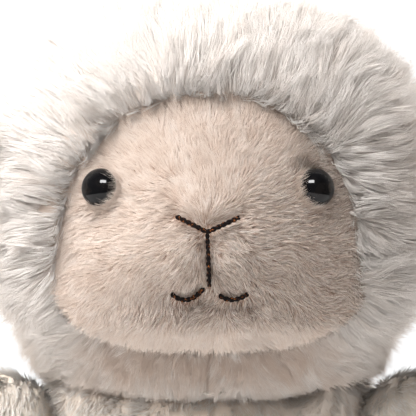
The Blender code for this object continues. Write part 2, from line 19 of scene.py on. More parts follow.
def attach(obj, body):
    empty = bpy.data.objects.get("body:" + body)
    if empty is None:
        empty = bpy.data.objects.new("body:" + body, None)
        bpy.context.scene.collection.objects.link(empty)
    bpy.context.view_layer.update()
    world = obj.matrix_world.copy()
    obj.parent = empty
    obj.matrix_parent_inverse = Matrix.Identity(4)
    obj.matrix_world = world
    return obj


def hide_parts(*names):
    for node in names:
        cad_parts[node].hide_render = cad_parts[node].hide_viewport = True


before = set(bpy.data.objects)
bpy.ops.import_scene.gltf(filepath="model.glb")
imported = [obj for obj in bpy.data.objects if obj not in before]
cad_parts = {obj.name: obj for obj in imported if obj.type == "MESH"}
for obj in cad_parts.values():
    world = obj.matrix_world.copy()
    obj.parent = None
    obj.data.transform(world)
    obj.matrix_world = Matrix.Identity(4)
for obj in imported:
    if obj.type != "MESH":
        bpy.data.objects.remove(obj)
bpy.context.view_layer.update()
MAP_NAME = "OFBake"
COLOUR, NUMBER, VECTOR = "NodeSocketColor", "NodeSocketFloat", "NodeSocketVector"

Array = np.ndarray
Colour = tuple[float, float, float]
Random = np.random.Generator
Inputs = dict[str | int, object]
Triple = tuple[float, float, float]

FLOOR_CLEARANCE = 0.0003
FULL_TURN = 2 * math.pi
ALONG_Y, ALONG_Z = (0, 1, 0), (0, 0, 1)
BACK, FORWARD = np.array([0.0, 1.0, 0.0]), np.array([0.0, -1.0, 0.0])
DOWN = np.array([0.0, 0.0, -1.0])

log = logging.getLogger("plush_sheep")


class Side(Enum):
    """The viewer's left and right, with the sign that X takes there."""

    LEFT = -1
    RIGHT = 1

    @property
    def word(self) -> str:
        """Return the side's name as the pieces use it."""
        return self.name.lower()


# ---- numbers and directions


def fixed(*values: object) -> Array:
    """Return a dataclass field that holds an array of these values."""
    return field(default_factory=lambda: np.array(values))


def stacked(*parts: Array | float) -> Array:
    """Return coordinates, spread to one shape, on a last axis."""
    return np.stack(np.broadcast_arrays(*parts), -1)


def circle(count: int) -> Array:
    """Return even angles once round."""
    return np.linspace(0, FULL_TURN, count, endpoint=False)


def unit(vectors: Array) -> Array:
    """Return vectors scaled to a length of one; a vector of no length stays as it is."""
    length = np.linalg.norm(vectors, axis=-1, keepdims=True)
    return vectors / np.where(length > 1e-12, length, 1.0)


def ease(value: Array, low: float, high: float) -> Array:
    """Return a share that rises smoothly from 0 at low to 1 at high: 3t squared less 2t cubed."""
    t = np.clip((np.asarray(value, float) - low) / (high - low), 0.0, 1.0)
    return t * t * (3 - 2 * t)


def ahead(points: Array) -> Array:
    """Return 0 behind the sheep's middle, rising to 1 a little in front of it."""
    return ease(-points[..., 1], 0.0, 0.02)


def smoothed(line: Array, times: int) -> Array:
    """Average each inner value with its two neighbours, time after time, and return the line."""
    for _ in range(times):
        line[1:-1] = (line[2:] + line[:-2] + line[1:-1]) / 3
    return line


def wave_noise(points: Array, size: float, seed: int, waves: int = 16) -> Array:
    """Give each point a smooth random value: a sum of cosines that run in random directions.

    Args:
        points: Places, as n rows of x, y and z.
        size: About how far apart the bumps are, in metres.
        seed: Picks the directions and phases.
        waves: How many cosines are summed.

    Returns:
        A value for each point, with a mean of 0 and a spread of about 1.
    """
    rng = np.random.default_rng(seed)
    heading = unit(rng.normal(size=(waves, 3)))
    pitch = FULL_TURN / (size * rng.uniform(0.7, 1.5, waves))
    phase = rng.uniform(0, FULL_TURN, waves)
    return np.cos(points @ (heading * pitch[:, None]).T + phase).sum(1) * math.sqrt(2 / waves)


def along_surface(direction: Array, normal: Array) -> Array:
    """Return unit directions laid into a surface: each less its part along the normal."""
    return unit(direction - (direction * normal).sum(-1, keepdims=True) * normal)


def turned(direction: Array, normal: Array, angle: Array) -> Array:
    """Return unit directions in a surface turned about its normal, by angles in radians."""
    angle = np.asarray(angle)[..., None]
    return direction * np.cos(angle) + np.cross(normal, direction) * np.sin(angle)


def distance_to_path(x: Array, z: Array, path: Array) -> Array:
    """Measure how far points in the face's plane are from a line of straight parts.

    Args:
        x: The points' places across.
        z: The points' heights.
        path: The line's corners, as rows of x and z.

    Returns:
        The least distance of each point to the line.
    """
    spot = stacked(x, z)[..., None, :]
    start, run = path[:-1], np.diff(path, axis=0)
    share = ((spot - start) * run).sum(-1) / (run**2).sum(-1)
    nearest = start + np.clip(share, 0, 1)[..., None] * run
    return np.linalg.norm(spot - nearest, axis=-1).min(-1)


def aim_frame(root: Array, aim: Array, up: Array) -> Matrix:
    """Make the placing whose local Z points along a direction, with local X nearest to another.

    Args:
        root: Where the origin goes.
        aim: The direction of local Z.
        up: The direction that local X leans to.

    Returns:
        The placing.
    """
    z = Vector(aim).normalized()
    y = z.cross(Vector(up)).normalized()
    return Matrix.Translation(Vector(root)) @ Matrix((y.cross(z), y, z)).transposed().to_4x4()


def placed(points: Array, place: Matrix) -> Array:
    """Return points, with x, y and z on the last axis, moved by a placing."""
    turn, shift = np.array(place.to_3x3()), np.array(place.translation)
    return points @ turn.T + shift


# ---- meshes


def linked(name: str, data: bpy.types.ID) -> Object:
    """Make an object of some data, and link it to the scene.

    Args:
        name: The object's name.
        data: Its mesh, light or camera.

    Returns:
        The object.
    """
    obj = bpy.data.objects.new(name, data)
    bpy.context.scene.collection.objects.link(obj)
    return obj


@dataclass
class Shell:
    """Points, triangles, a map place for each point and, on pile, the direction it is shaded in."""

    points: Array
    triangles: Array
    places: Array
    facing: Array | None = None

    @classmethod
    def joined(cls, parts: list["Shell"]) -> "Shell":
        """Put several shells into one.

        Args:
            parts: The shells, which all have shading directions or all have none.

        Returns:
            One shell with all their points and triangles.
        """
        first = np.cumsum([0] + [len(p.points) for p in parts[:-1]])
        return cls(
            np.concatenate([p.points for p in parts]),
            np.concatenate([p.triangles + f for p, f in zip(parts, first)]),
            np.concatenate([p.places for p in parts]),
            None if parts[0].facing is None else np.concatenate([p.facing for p in parts]),
        )

    def to_object(self, name: str, material: Material) -> Object:
        """Make a smooth mesh object of the shell.

        Args:
            name: The piece's name.
            material: Its one material.

        Returns:
            The object, at the origin.
        """
        mesh = bpy.data.meshes.new(name)
        count = len(self.triangles)
        corners = self.triangles.astype(np.int32).ravel()
        mesh.vertices.add(len(self.points))
        mesh.vertices.foreach_set("co", self.points.astype(np.float32).ravel())
        mesh.loops.add(count * 3)
        mesh.loops.foreach_set("vertex_index", corners)
        mesh.polygons.add(count)
        mesh.polygons.foreach_set("loop_start", np.arange(0, count * 3, 3, dtype=np.int32))
        mesh.polygons.foreach_set("use_smooth", np.ones(count, dtype=bool))
        mesh.update(calc_edges=True)
        layer = mesh.uv_layers.new(name=MAP_NAME)
        layer.data.foreach_set("uv", self.places[corners].astype(np.float32).ravel())
        if self.facing is not None:
            mesh.normals_split_custom_set_from_vertices(self.facing.astype(np.float32))
        mesh.materials.append(material)
        return linked(name, mesh)


def make_piece(
    name: str,
    parts: list[Shell],
    material: Material,
    body: str,
    node: str,
) -> None:
    """Join shells into one object, and make it a piece of the sheep.

    Args:
        name: The piece's name.
        parts: Its shells.
        material: Its one material.
        body: The CAD body that it rides on.
        node: The CAD node that it stands for.
    """
    obj = Shell.joined(parts).to_object(name, material)
    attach(obj, body)
    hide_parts(node)
    log.info("%s: %d points on %s", obj.name, len(obj.data.vertices), body)


def grid_triangles(rows: int, around: int) -> Array:
    """List the triangles of a grid that closes round and ends in a middle point at both ends.

    Args:
        rows: How many rings there are.
        around: How many points each ring has.

    Returns:
        Triangles; the two end points come after the rings' points.
    """
    i, j = np.meshgrid(np.arange(rows - 1), np.arange(around), indexing="ij")
    a, b = i * around + j, i * around + (j + 1) % around
    c, d = a + around, b + around
    sides = np.concatenate([stacked(a, b, d), stacked(a, d, c)]).reshape(-1, 3)
    ring = np.arange(around)
    after, top = (ring + 1) % around, (rows - 1) * around
    start = stacked(after, ring, rows * around)
    end = stacked(ring + top, after + top, rows * around + 1)
    return np.concatenate([sides, start, end])


@dataclass
class Skin:
    """A closed surface on a grid: each row is a ring, and both ends close in a point.

    The facing is the direction that each point is shaded in, which is the normal unless it is
    given.
    """

    rings: Array
    facing: Array | None = None
    normals: Array = field(init=False)

    def __post_init__(self) -> None:
        """Work out the outward normals, and turn the rings round where they face inward."""
        self.normals = self._normals()
        if (self.normals * (self.rings - self.rings.mean((0, 1)))).sum() < 0:
            self.rings = self.rings[:, ::-1].copy()
            self.normals = self._normals()
            if self.facing is not None:
                self.facing = self.facing[:, ::-1].copy()
        if self.facing is None:
            self.facing = self.normals

    def _normals(self) -> Array:
        """Return the unit cross product of the central steps round the rings and between them."""
        across = np.roll(self.rings, -1, 1) - np.roll(self.rings, 1, 1)
        return unit(np.cross(across, np.gradient(self.rings, axis=0)))

    def inset(self, depth: Array | float) -> "Skin":
        """Return the surface drawn in along its normals, by one depth or one for each point."""
        return Skin(self.rings - self.normals * np.asarray(depth, float)[..., None])

    def shell(self) -> Shell:
        """Make the surface a closed mesh, whose map lies in the strip that the roots use, so that
        it takes their painted shade.

        Returns:
            The mesh of the skin itself.
        """
        rows, around = self.rings.shape[:2]
        points = np.concatenate([self.rings.reshape(-1, 3), self.rings[[0, -1]].mean(1)])
        turn = 1 - np.abs(2 * np.arange(around) / around - 1)
        level = 0.02 + 0.06 * np.linspace(0, 1, rows)[:, None]
        places = stacked(0.03 + 0.94 * turn, level).reshape(-1, 2)
        places = np.concatenate([places, [[0.5, 0.012], [0.5, 0.09]]])
        ends = unit(self.facing[[0, -1]].mean(1))
        facing = np.concatenate([self.facing.reshape(-1, 3), ends])
        return Shell(points, grid_triangles(rows, around), places, facing)

    def spots(self, count: int, rng: Random, weight: Array | None = None) -> "Spots":
        """Scatter places over the surface by area.

        Args:
            count: How many places.
            rng: The source of the scatter.
            weight: How dense the scatter is at each point of the grid.

        Returns:
            The places with their normals and their shares along the rows.
        """
        p, n = self.rings, self.normals
        q = np.roll(p, -1, 1)
        area = np.linalg.norm(np.cross(p[1:] - p[:-1], q[:-1] - p[:-1]), axis=-1)
        if weight is not None:
            area = area * (weight[1:] + weight[:-1]) / 2
        cells = rng.choice(area.size, count, p=area.ravel() / area.sum())
        i, j = np.divmod(cells, p.shape[1])
        k = (j + 1) % p.shape[1]
        a, b = rng.random((2, count, 1))

        def mixed(grid: Array) -> Array:
            """Return the blend of the four corners of each chosen cell."""
            near, far = (grid[row, j] * (1 - b) + grid[row, k] * b for row in (i, i + 1))
            return near * (1 - a) + far * a

        share = (i + a[:, 0]) / (p.shape[0] - 1)
        return Spots(mixed(p), unit(mixed(n)), unit(mixed(self.facing)), share)


@dataclass
class Spots:
    """Places on a skin, with the normal, the shading direction and the share along the rows."""

    points: Array
    normals: Array
    facing: Array
    share: Array

    def each(self, change: Callable[[Array], Array]) -> "Spots":
        """Return new spots, with one change made to every array."""
        return Spots(*(change(a) for a in (self.points, self.normals, self.facing, self.share)))

    def repeated(self, times: int) -> "Spots":
        """Return each place several times over, one after another."""
        return self.each(lambda array: np.repeat(array, times, axis=0))

    def kept(self, mask: Array) -> "Spots":
        """Return only the places that a mask keeps."""
        return self.each(lambda array: array[mask])

    def along(self, direction: Array) -> Array:
        """Return a direction laid into the surface at each spot."""
        return along_surface(direction, self.normals)

    def flow(self, aim: Array, swing: float, size: float, seed: int) -> Array:
        """Lay a direction into the surface at each spot, and let it wander.

        Args:
            aim: The direction, for all the spots or for each.
            swing: How far it wanders, in radians.
            size: About how far apart the wanderings are, in metres.
            seed: Picks them.

        Returns:
            Unit directions along the surface.
        """
        wander = swing * wave_noise(self.points, size, seed)
        return turned(self.along(aim), self.normals, wander)


# ---- pile


@dataclass(frozen=True)
class Pile:
    """How a fabric's pile grows: in wisps of strands that lean along a flow and bend over."""

    length: float
    width: float
    root_lift: float
    tip_lift: float
    wisp_strands: int = 8
    wisp_radius: float = 0.0013
    wisp_pull: float = 0.5
    length_spread: float = 0.15
    stray: float = 0.16
    joints: int = 2
    tuft_size: float = 0.008
    tuft_turn: float = 0.22
    tuft_lift: float = 0.16
    softness: float = 1.5
    shortest: float = 0.4
    longest: float = 1.6
    tuft_tint: float = 0.09
    wisp_tint: float = 0.08
    strand_tint: float = 0.07
    painted_shade_grain_tint: float = 0.50
    warm_share: float = 0.45
    width_spread: float = 0.25

    def grow(
        self,
        spots: Spots,
        flow: Array,
        rng: Random,
        seed: int,
        scale: Array | float = 1.0,
        width_scale: Array | float = 1.0,
        rise: Array | float = 0.0,
        painted_shading: Array | float = 0.0,
        painted_shade_grain: Array | float = 0.0,
        soften: Array | float = 1.0,
    ) -> Shell:
        """Grow one wisp at each spot.

        A strand's line starts at its root, runs at the root's lift over the surface and bends
        to the tip's lift. Each later point is drawn to the wisp's own line. Tufts come from
        a smooth noise that turns and lifts whole neighbourhoods of wisps.

        Args:
            spots: Where the wisps stand.
            flow: The direction along the surface that the pile is brushed in, one a spot.
            rng: The source of the strands' differences.
            seed: Picks the noise of the tufts.
            scale: The pile's length at each spot, as a share of its own.
            width_scale: The strands' width at each spot, as a share of its own.
            rise: What is added to the lift at each spot, in radians.
            painted_shading: What is added to the tint at each spot: painted shade towards the warm
                colour or, below 0, painted light towards the cool one.
            painted_shade_grain: How far the strands at each spot differ in shading and in tint; the
                tint spread gives darker strands as painted shade and paler ones as painted
                highlights.
            soften: The share of the pile's softness at each spot.

        Returns:
            The strands, closed and tapered to a point.
        """
        wisps, n = len(spots.points), self.wisp_strands
        ones, strands = np.ones(wisps), wisps * n
        scale, width_scale = ones * scale, ones * width_scale
        bunch = wave_noise(spots.points, self.tuft_size, seed)
        sweep = wave_noise(spots.points, self.tuft_size * 1.6, seed + 1)
        sweep = self.tuft_turn * sweep + rng.normal(0, self.stray, wisps)
        flow = turned(flow, spots.normals, sweep)
        lift = self.tuft_lift * bunch + rng.normal(0, self.stray * 0.6, wisps) + rise
        long = self.length * scale * (1 + self.length_spread * rng.normal(size=wisps))
        least, most = self.shortest * self.length * scale, self.longest * self.length * scale
        long = np.clip(long, least, most)
        side = np.cross(spots.normals, flow)
        shared = np.repeat(self._line(np.zeros_like(flow), flow, spots.normals, lift, long), n, 0)
        # The strands of each wisp
        own = spots.repeated(n)
        turn, out = rng.uniform(0, FULL_TURN, strands), np.sqrt(rng.random(strands))
        reach = self.wisp_radius * out * np.repeat(width_scale, n)
        flow, side = np.repeat(flow, n, 0), np.repeat(side, n, 0)
        start = reach[:, None] * (np.cos(turn)[:, None] * flow + np.sin(turn)[:, None] * side)
        heading = turned(flow, own.normals, rng.normal(0, self.stray, strands))
        tilt = np.repeat(lift, n) + rng.normal(0, self.stray * 0.5, strands)
        long = np.repeat(long, n) * (1 + 0.6 * self.length_spread * rng.normal(size=strands))
        lines = self._line(start, heading, own.normals, tilt, long)
        pull = self.wisp_pull * np.linspace(0, 1, self.joints + 1)[None, :, None]
        lines = lines * (1 - pull) + shared * pull + own.points[:, None]
        lines[..., 2] = np.maximum(lines[..., 2], FLOOR_CLEARANCE)
        # Their tint, width and shading
        painted_shade_grain = np.repeat(ones * painted_shade_grain, n)
        tint = np.repeat(self.tuft_tint * bunch + self.wisp_tint * rng.normal(size=wisps), n)
        # Painted shade and painted highlights: a wider tint spread gives darker and paler strands.
        own_tint = self.strand_tint + self.painted_shade_grain_tint * painted_shade_grain
        tint = tint + own_tint * rng.normal(size=strands)
        tint = np.where(tint > 0, self.warm_share, 1.0) * tint
        # Painted shade or painted light: whole spots' tint shifts towards the warm or the cool
        # colour.
        tint = 0.5 + tint + np.repeat(ones * painted_shading, n)
        spread = (1 - self.width_spread, 1 + self.width_spread)
        half = self.width / 2 * np.repeat(width_scale, n) * rng.uniform(*spread, strands)
        facing = unit(own.facing + painted_shade_grain[:, None] * rng.normal(size=own.facing.shape))
        facing = facing * np.repeat(ones * soften * self.softness, n)[:, None]
        return strand_shell(lines, own.normals, facing, half, np.clip(tint, 0.03, 0.97))

    def _line(self, start: Array, flow: Array, normal: Array, lift: Array, long: Array) -> Array:
        """Step from the root to the tip, with a lift over the surface that falls on the way.

        Args:
            start: The roots, from their spots.
            flow: Directions along the surface.
            normal: Outward directions.
            lift: What is added to the lifts, in radians.
            long: The strands' lengths.

        Returns:
            The lines' points from root to tip, from their spots.
        """
        points = [start]
        for k in range(self.joints):
            share = k / max(self.joints - 1, 1)
            angle = self.root_lift + (self.tip_lift - self.root_lift) * share + lift
            angle = np.clip(angle, 0.08, 1.5)[:, None]
            step = np.cos(angle) * flow + np.sin(angle) * normal
            points.append(points[-1] + step * (long / self.joints)[:, None])
        return np.stack(points, 1)


def strand_shell(lines: Array, normal: Array, facing: Array, half: Array, tint: Array) -> Shell:
    """Wrap each line in a three-sided tube that tapers to a point at its tip.

    The ring at a joint is a triangle across the line's direction there, flat side out. Fibres as
    fine as these glow through, so a strand is shaded mostly in the skin's direction, and its two
    outer edges lean a little to their sides. The map's u is the strand's tint, and its v runs
    from root to tip, so that strands of one tint share a strip.

    Args:
        lines: The lines, as strands by points by x, y and z.
        normal: The skin's outward direction at each strand.
        facing: The direction that the skin is shaded in there, as long as its share is large.
        half: Half the width at each root.
        tint: The tint of each strand, from 0 to 1.

    Returns:
        The closed strands.
    """
    edge_lean, taper = 0.38, 0.35
    slit, step_down, first_v, run_v = 0.0018, 0.012, 0.10, 0.87
    count, joints = len(lines), lines.shape[1] - 1
    shape, last = (count, joints, 3), joints * 3
    steps = unit(np.diff(lines, axis=1))
    heading = np.concatenate([steps[:, :1], unit(steps[:, 1:] + steps[:, :-1])], 1)
    side = unit(np.cross(heading, normal[:, None]))
    over = np.cross(side, heading)
    width = (half[:, None] * (1 - taper * np.arange(joints) / joints))[..., None]
    angles = FULL_TURN / 3 * np.arange(3) - math.pi / 2
    rings = [lines[:, :-1] + width * (math.cos(a) * side + math.sin(a) * over) for a in angles]
    out = unit(over + facing[:, None])
    shaded = [unit(out + lean * side) for lean in (0.0, edge_lean, -edge_lean)]

    def closed(around: list[Array], tip: Array) -> Array:
        """Put each strand's rings and its tip in one row of points."""
        body = np.stack(around, 2).reshape(count, last, 3)
        return np.concatenate([body, tip], 1).reshape(-1, 3)

    triangles = [(0, 1, 2)]
    for k in range(joints - 1):
        for j in range(3):
            a, b = 3 * k + j, 3 * k + (j + 1) % 3
            triangles += [(a, a + 3, b), (b, a + 3, b + 3)]
    triangles += [(last - 3 + j, last, last - 3 + (j + 1) % 3) for j in range(3)]
    every = np.array(triangles)[None] + (np.arange(count) * (last + 1))[:, None, None]
    level = first_v + run_v * np.arange(joints + 1) / joints
    u = np.broadcast_to(np.array([-slit, 0.0, slit]) + tint[:, None, None], shape)
    v = np.broadcast_to(level[:-1, None] + np.array([0.0, -step_down, 0.0]), shape)
    u = np.concatenate([u.reshape(count, -1), tint[:, None]], 1)
    v = np.concatenate([v.reshape(count, -1), np.full((count, 1), level[-1])], 1)
    places = stacked(u, v).reshape(-1, 2)
    shaded = closed(shaded, out[:, -1:])
    return Shell(closed(rings, lines[:, -1:]), every.reshape(-1, 3), places, shaded)


# ---- finishes


class Bench:
    """Adds and feeds the nodes of one material, node group or world."""

    def __init__(self, tree: NodeTree) -> None:
        """Start on a node tree, and clear it."""
        self.tree = tree
        tree.nodes.clear()

    def feed(self, node: Node, inputs: Inputs) -> None:
        """Link or set some inputs of a node.

        Args:
            node: The node.
            inputs: A socket, a number or a colour by the input's name or place.
        """
        for key, value in inputs.items():
            if isinstance(value, NodeSocket):
                self.tree.links.new(value, node.inputs[key])
            else:
                colour = isinstance(value, tuple)
                node.inputs[key].default_value = (*value, 1.0) if colour else value

    def add(self, kind: str, inputs: Inputs | None = None, **settings: object) -> Node:
        """Add a node.

        Args:
            kind: The node's type, without its ShaderNode prefix.
            inputs: What its inputs are fed.
            settings: Properties to set on it.

        Returns:
            The node.
        """
        node = self.tree.nodes.new(kind if kind.startswith("Node") else f"ShaderNode{kind}")
        for key, value in settings.items():
            setattr(node, key, value)
        self.feed(node, inputs or {})
        return node

    def maths(self, operation: str, *values: object, clamp: bool = False) -> NodeSocket:
        """Return the result of a Math node that is fed sockets or numbers in order."""
        node = self.add("Math", dict(enumerate(values)), operation=operation, use_clamp=clamp)
        return node.outputs[0]

    def mix(self, factor: object, one: object, two: object, blend: str = "MIX") -> NodeSocket:
        """Return a mixed colour; the factor is the share of the second."""
        inputs = {0: factor, 6: one, 7: two}
        return self.add("Mix", inputs, data_type="RGBA", blend_type=blend).outputs[2]

    def seen(self, path: Node) -> NodeSocket:
        """Return 1 for rays that come straight from the camera, or through something clear."""
        rays = (path.outputs[f"Is {kind} Ray"] for kind in ("Camera", "Transmission"))
        return self.maths("MAXIMUM", *rays)


def new_group(
    name: str, inputs: dict[str, str], outputs: dict[str, str]
) -> tuple[Bench, Node, Node]:
    """Start a shader node group.

    Args:
        name: The group's name.
        inputs: Socket types by input name.
        outputs: Socket types by output name.

    Returns:
        A bench on the group, its node of inputs and its node of outputs.
    """
    tree = bpy.data.node_groups.new(name, "ShaderNodeTree")
    for direction, sockets in (("INPUT", inputs), ("OUTPUT", outputs)):
        for word, kind in sockets.items():
            tree.interface.new_socket(word, in_out=direction, socket_type=kind)
    bench = Bench(tree)
    return bench, bench.add("NodeGroupInput"), bench.add("NodeGroupOutput")


def pile_colour_group() -> NodeTree:
    """Build the group that colours pile by its map: u is the strand's tint, v runs root to tip.

    Returns:
        The group, which puts out a colour.
    """
    colours = dict.fromkeys(("Root", "Middle", "Tip", "Cool", "Warm"), COLOUR)
    bench, entry, leave = new_group(
        "pile_colour", {"Map": VECTOR, **colours}, {"Colour": COLOUR}
    )
    place = bench.add("SeparateXYZ", {0: entry.outputs["Map"]})
    u, v = place.outputs["X"], place.outputs["Y"]
    shares = {
        "Middle": bench.maths("DIVIDE", v, 0.45, clamp=True),
        "Tip": bench.maths("DIVIDE", bench.maths("SUBTRACT", v, 0.45), 0.5, clamp=True),
        "Cool": bench.maths("MULTIPLY", bench.maths("SUBTRACT", 0.5, u), 2.0, clamp=True),
        "Warm": bench.maths("MULTIPLY", bench.maths("SUBTRACT", u, 0.5), 2.0, clamp=True),
    }
    # The root colour is painted shade deep in the pile; the middle and tip colours lie over it.
    body = entry.outputs["Root"]
    for word, share in shares.items():
        body = bench.mix(share, body, entry.outputs[word])
    bench.feed(leave, {"Colour": body})
    return bench.tree


def fleck_group() -> NodeTree:
    """Build the group that gives threads, fibres and plastic their small uneven spots.

    Returns:
        The group, which puts out a mask of flecks and a fine grain.
    """
    bench, entry, leave = new_group(
        "flecks", {"Size": NUMBER, "Amount": NUMBER}, {"Mask": NUMBER, "Grain": NUMBER}
    )
    place = bench.add("TexCoord").outputs["Object"]
    pitch = bench.maths("DIVIDE", 1.0, entry.outputs["Size"])
    broad, fine = (
        bench.add("TexNoise", {"Vector": place, "Scale": scale, "Detail": detail}).outputs[0]
        for scale, detail in ((pitch, 2.0), (bench.maths("MULTIPLY", pitch, 5.0), 4.0))
    )
    edge = bench.maths("SUBTRACT", 1.0, entry.outputs["Amount"])
    mask = bench.maths("MULTIPLY", bench.maths("SUBTRACT", broad, edge), 9.0, clamp=True)
    bench.feed(leave, {"Mask": mask, "Grain": fine})
    return bench.tree


def new_material(name: str) -> tuple[Material, Bench, Node, Node]:
    """Start a material with a Principled shader.

    Args:
        name: The material's name.

    Returns:
        The material, a bench on its tree, the shader and the output node.
    """
    made = bpy.data.materials.new(name)
    made.use_nodes = True
    bench = Bench(made.node_tree)
    shader = bench.add("BsdfPrincipled")
    return made, bench, shader, bench.add("OutputMaterial", {0: shader.outputs[0]})


@dataclass(frozen=True)
class PileFinish:
    """The colours of a pile fabric, from its roots, darker as painted shade in the pile's depth, to
    its tips.
    """

    name: str
    root: Colour
    middle: Colour
    tip: Colour
    cool: Colour
    warm: Colour
    roughness: float = 0.75
    specular: float = 0.25
    sheen: float = 0.15
    sheen_roughness: float = 0.6

    def material(self, group: NodeTree) -> Material:
        """Make the material.

        Args:
            group: The group that colours pile by its map.

        Returns:
            The material.
        """
        made, bench, shader, _ = new_material(self.name)
        words = ("root", "middle", "tip", "cool", "warm")
        inputs = {word.capitalize(): getattr(self, word) for word in words}
        inputs["Map"] = bench.add("UVMap", uv_map=MAP_NAME).outputs[0]
        colour = bench.add("Group", inputs, node_tree=group).outputs["Colour"]
        settings = {
            "Base Color": colour,
            "Roughness": self.roughness,
            "Specular IOR Level": self.specular,
            "Sheen Weight": self.sheen,
            "Sheen Roughness": self.sheen_roughness,
        }
        bench.feed(shader, settings)
        return made


@dataclass(frozen=True)
class FleckFinish:
    """A finish of one colour with flecks of another, and a fine grain that roughens it."""

    name: str
    base: Colour
    fleck: Colour
    size: float
    amount: float
    roughness: float
    rough_swing: float = 0.15
    bump: float = 0.3
    bump_depth: float = 0.0001
    specular: float = 0.5

    def material(self, group: NodeTree) -> Material:
        """Make the material.

        Args:
            group: The group that puts out the flecks and the grain.

        Returns:
            The material.
        """
        made, bench, shader, _ = new_material(self.name)
        flecks = bench.add("Group", {"Size": self.size, "Amount": self.amount}, node_tree=group)
        grain = flecks.outputs["Grain"]
        colour = bench.mix(flecks.outputs["Mask"], self.base, self.fleck)
        shade = bench.maths("MULTIPLY_ADD", grain, 0.5, 0.72)
        tone = bench.add("CombineColor", dict.fromkeys(range(3), shade)).outputs[0]
        low = self.roughness - self.rough_swing / 2
        height = {"Strength": self.bump, "Distance": self.bump_depth, "Height": grain}
        settings = {
            "Base Color": bench.mix(1.0, colour, tone, "MULTIPLY"),
            "Roughness": bench.maths("MULTIPLY_ADD", grain, self.rough_swing, low, clamp=True),
            "Specular IOR Level": self.specular,
            "Normal": bench.add("Bump", height).outputs[0],
        }
        bench.feed(shader, settings)
        return made


@dataclass
class Finishes:
    """All the sheep's materials."""

    hood: Material
    coat: Material
    peach: Material
    cream: Material
    thread: Material
    seam: Material
    eye: Material
    washer: Material
    fibre: Material
    pellet: Material

    @classmethod
    def made(cls) -> "Finishes":
        """Build every material, in the fields' order, from the two shared groups.

        Returns:
            The materials.
        """
        # Each pile's root colour is painted shade in the pile's depth.
        furs = (
            # White: the warm colour serves random tints and the painted shade of the band under the
            # chin.
            PileFinish(
                "long_pile_white", (0.90, 0.82, 0.76), (0.91, 0.85, 0.80), (0.92, 0.865, 0.82),
                (0.90, 0.86, 0.825), (0.68, 0.54, 0.45),
            ),
            PileFinish(
                "long_pile_body", (0.78, 0.64, 0.52), (0.89, 0.82, 0.75), (0.92, 0.87, 0.82),
                (0.88, 0.84, 0.80), (0.90, 0.81, 0.72),
            ),
            # Peach: the dark brown warm colour serves random tints and the painted shade of the
            # muzzle's grain; the pale cool colour gives pale strands in the grain and painted light
            # on the chin.
            PileFinish(
                "short_pile_peach", (0.46, 0.28, 0.195), (0.83, 0.66, 0.55), (0.97, 0.845, 0.75),
                (0.95, 0.85, 0.78), (0.34, 0.20, 0.135),
            ),
            PileFinish(
                "short_pile_cream", (0.84, 0.70, 0.57), (0.95, 0.89, 0.82), (0.97, 0.93, 0.88),
                (0.94, 0.90, 0.86), (0.94, 0.85, 0.75),
            ),
        )
        others = (
            FleckFinish(
                "embroidery_thread", (0.007, 0.004, 0.004), (0.42, 0.13, 0.03), 0.0009, 0.41, 0.8,
                bump=0.6, bump_depth=0.0002, specular=0.15,
            ),
            FleckFinish("seam_thread", (0.80, 0.76, 0.70), (0.70, 0.64, 0.56), 0.0008, 0.4, 0.8),
            FleckFinish(
                "eye_plastic", (0.006, 0.006, 0.007), (0.010, 0.009, 0.009), 0.004, 0.5, 0.07,
                rough_swing=0.03, bump=0.02, bump_depth=0.00002, specular=0.3,
            ),
            FleckFinish("washer_plastic", (0.75, 0.75, 0.73), (0.68, 0.68, 0.66), 0.002, 0.4, 0.4),
            FleckFinish(
                "stuffing_fibre", (0.90, 0.90, 0.88), (0.80, 0.80, 0.79), 0.003, 0.45, 0.95,
                bump=0.8, bump_depth=0.001,
            ),
            FleckFinish(
                "pellet_bag_cloth", (0.65, 0.62, 0.56), (0.55, 0.52, 0.46), 0.0025, 0.5, 0.85,
                bump=0.6, bump_depth=0.0005,
            ),
        )
        pile, flecks = pile_colour_group(), fleck_group()
        return cls(*(f.material(pile) for f in furs), *(f.material(flecks) for f in others))


# ---- head


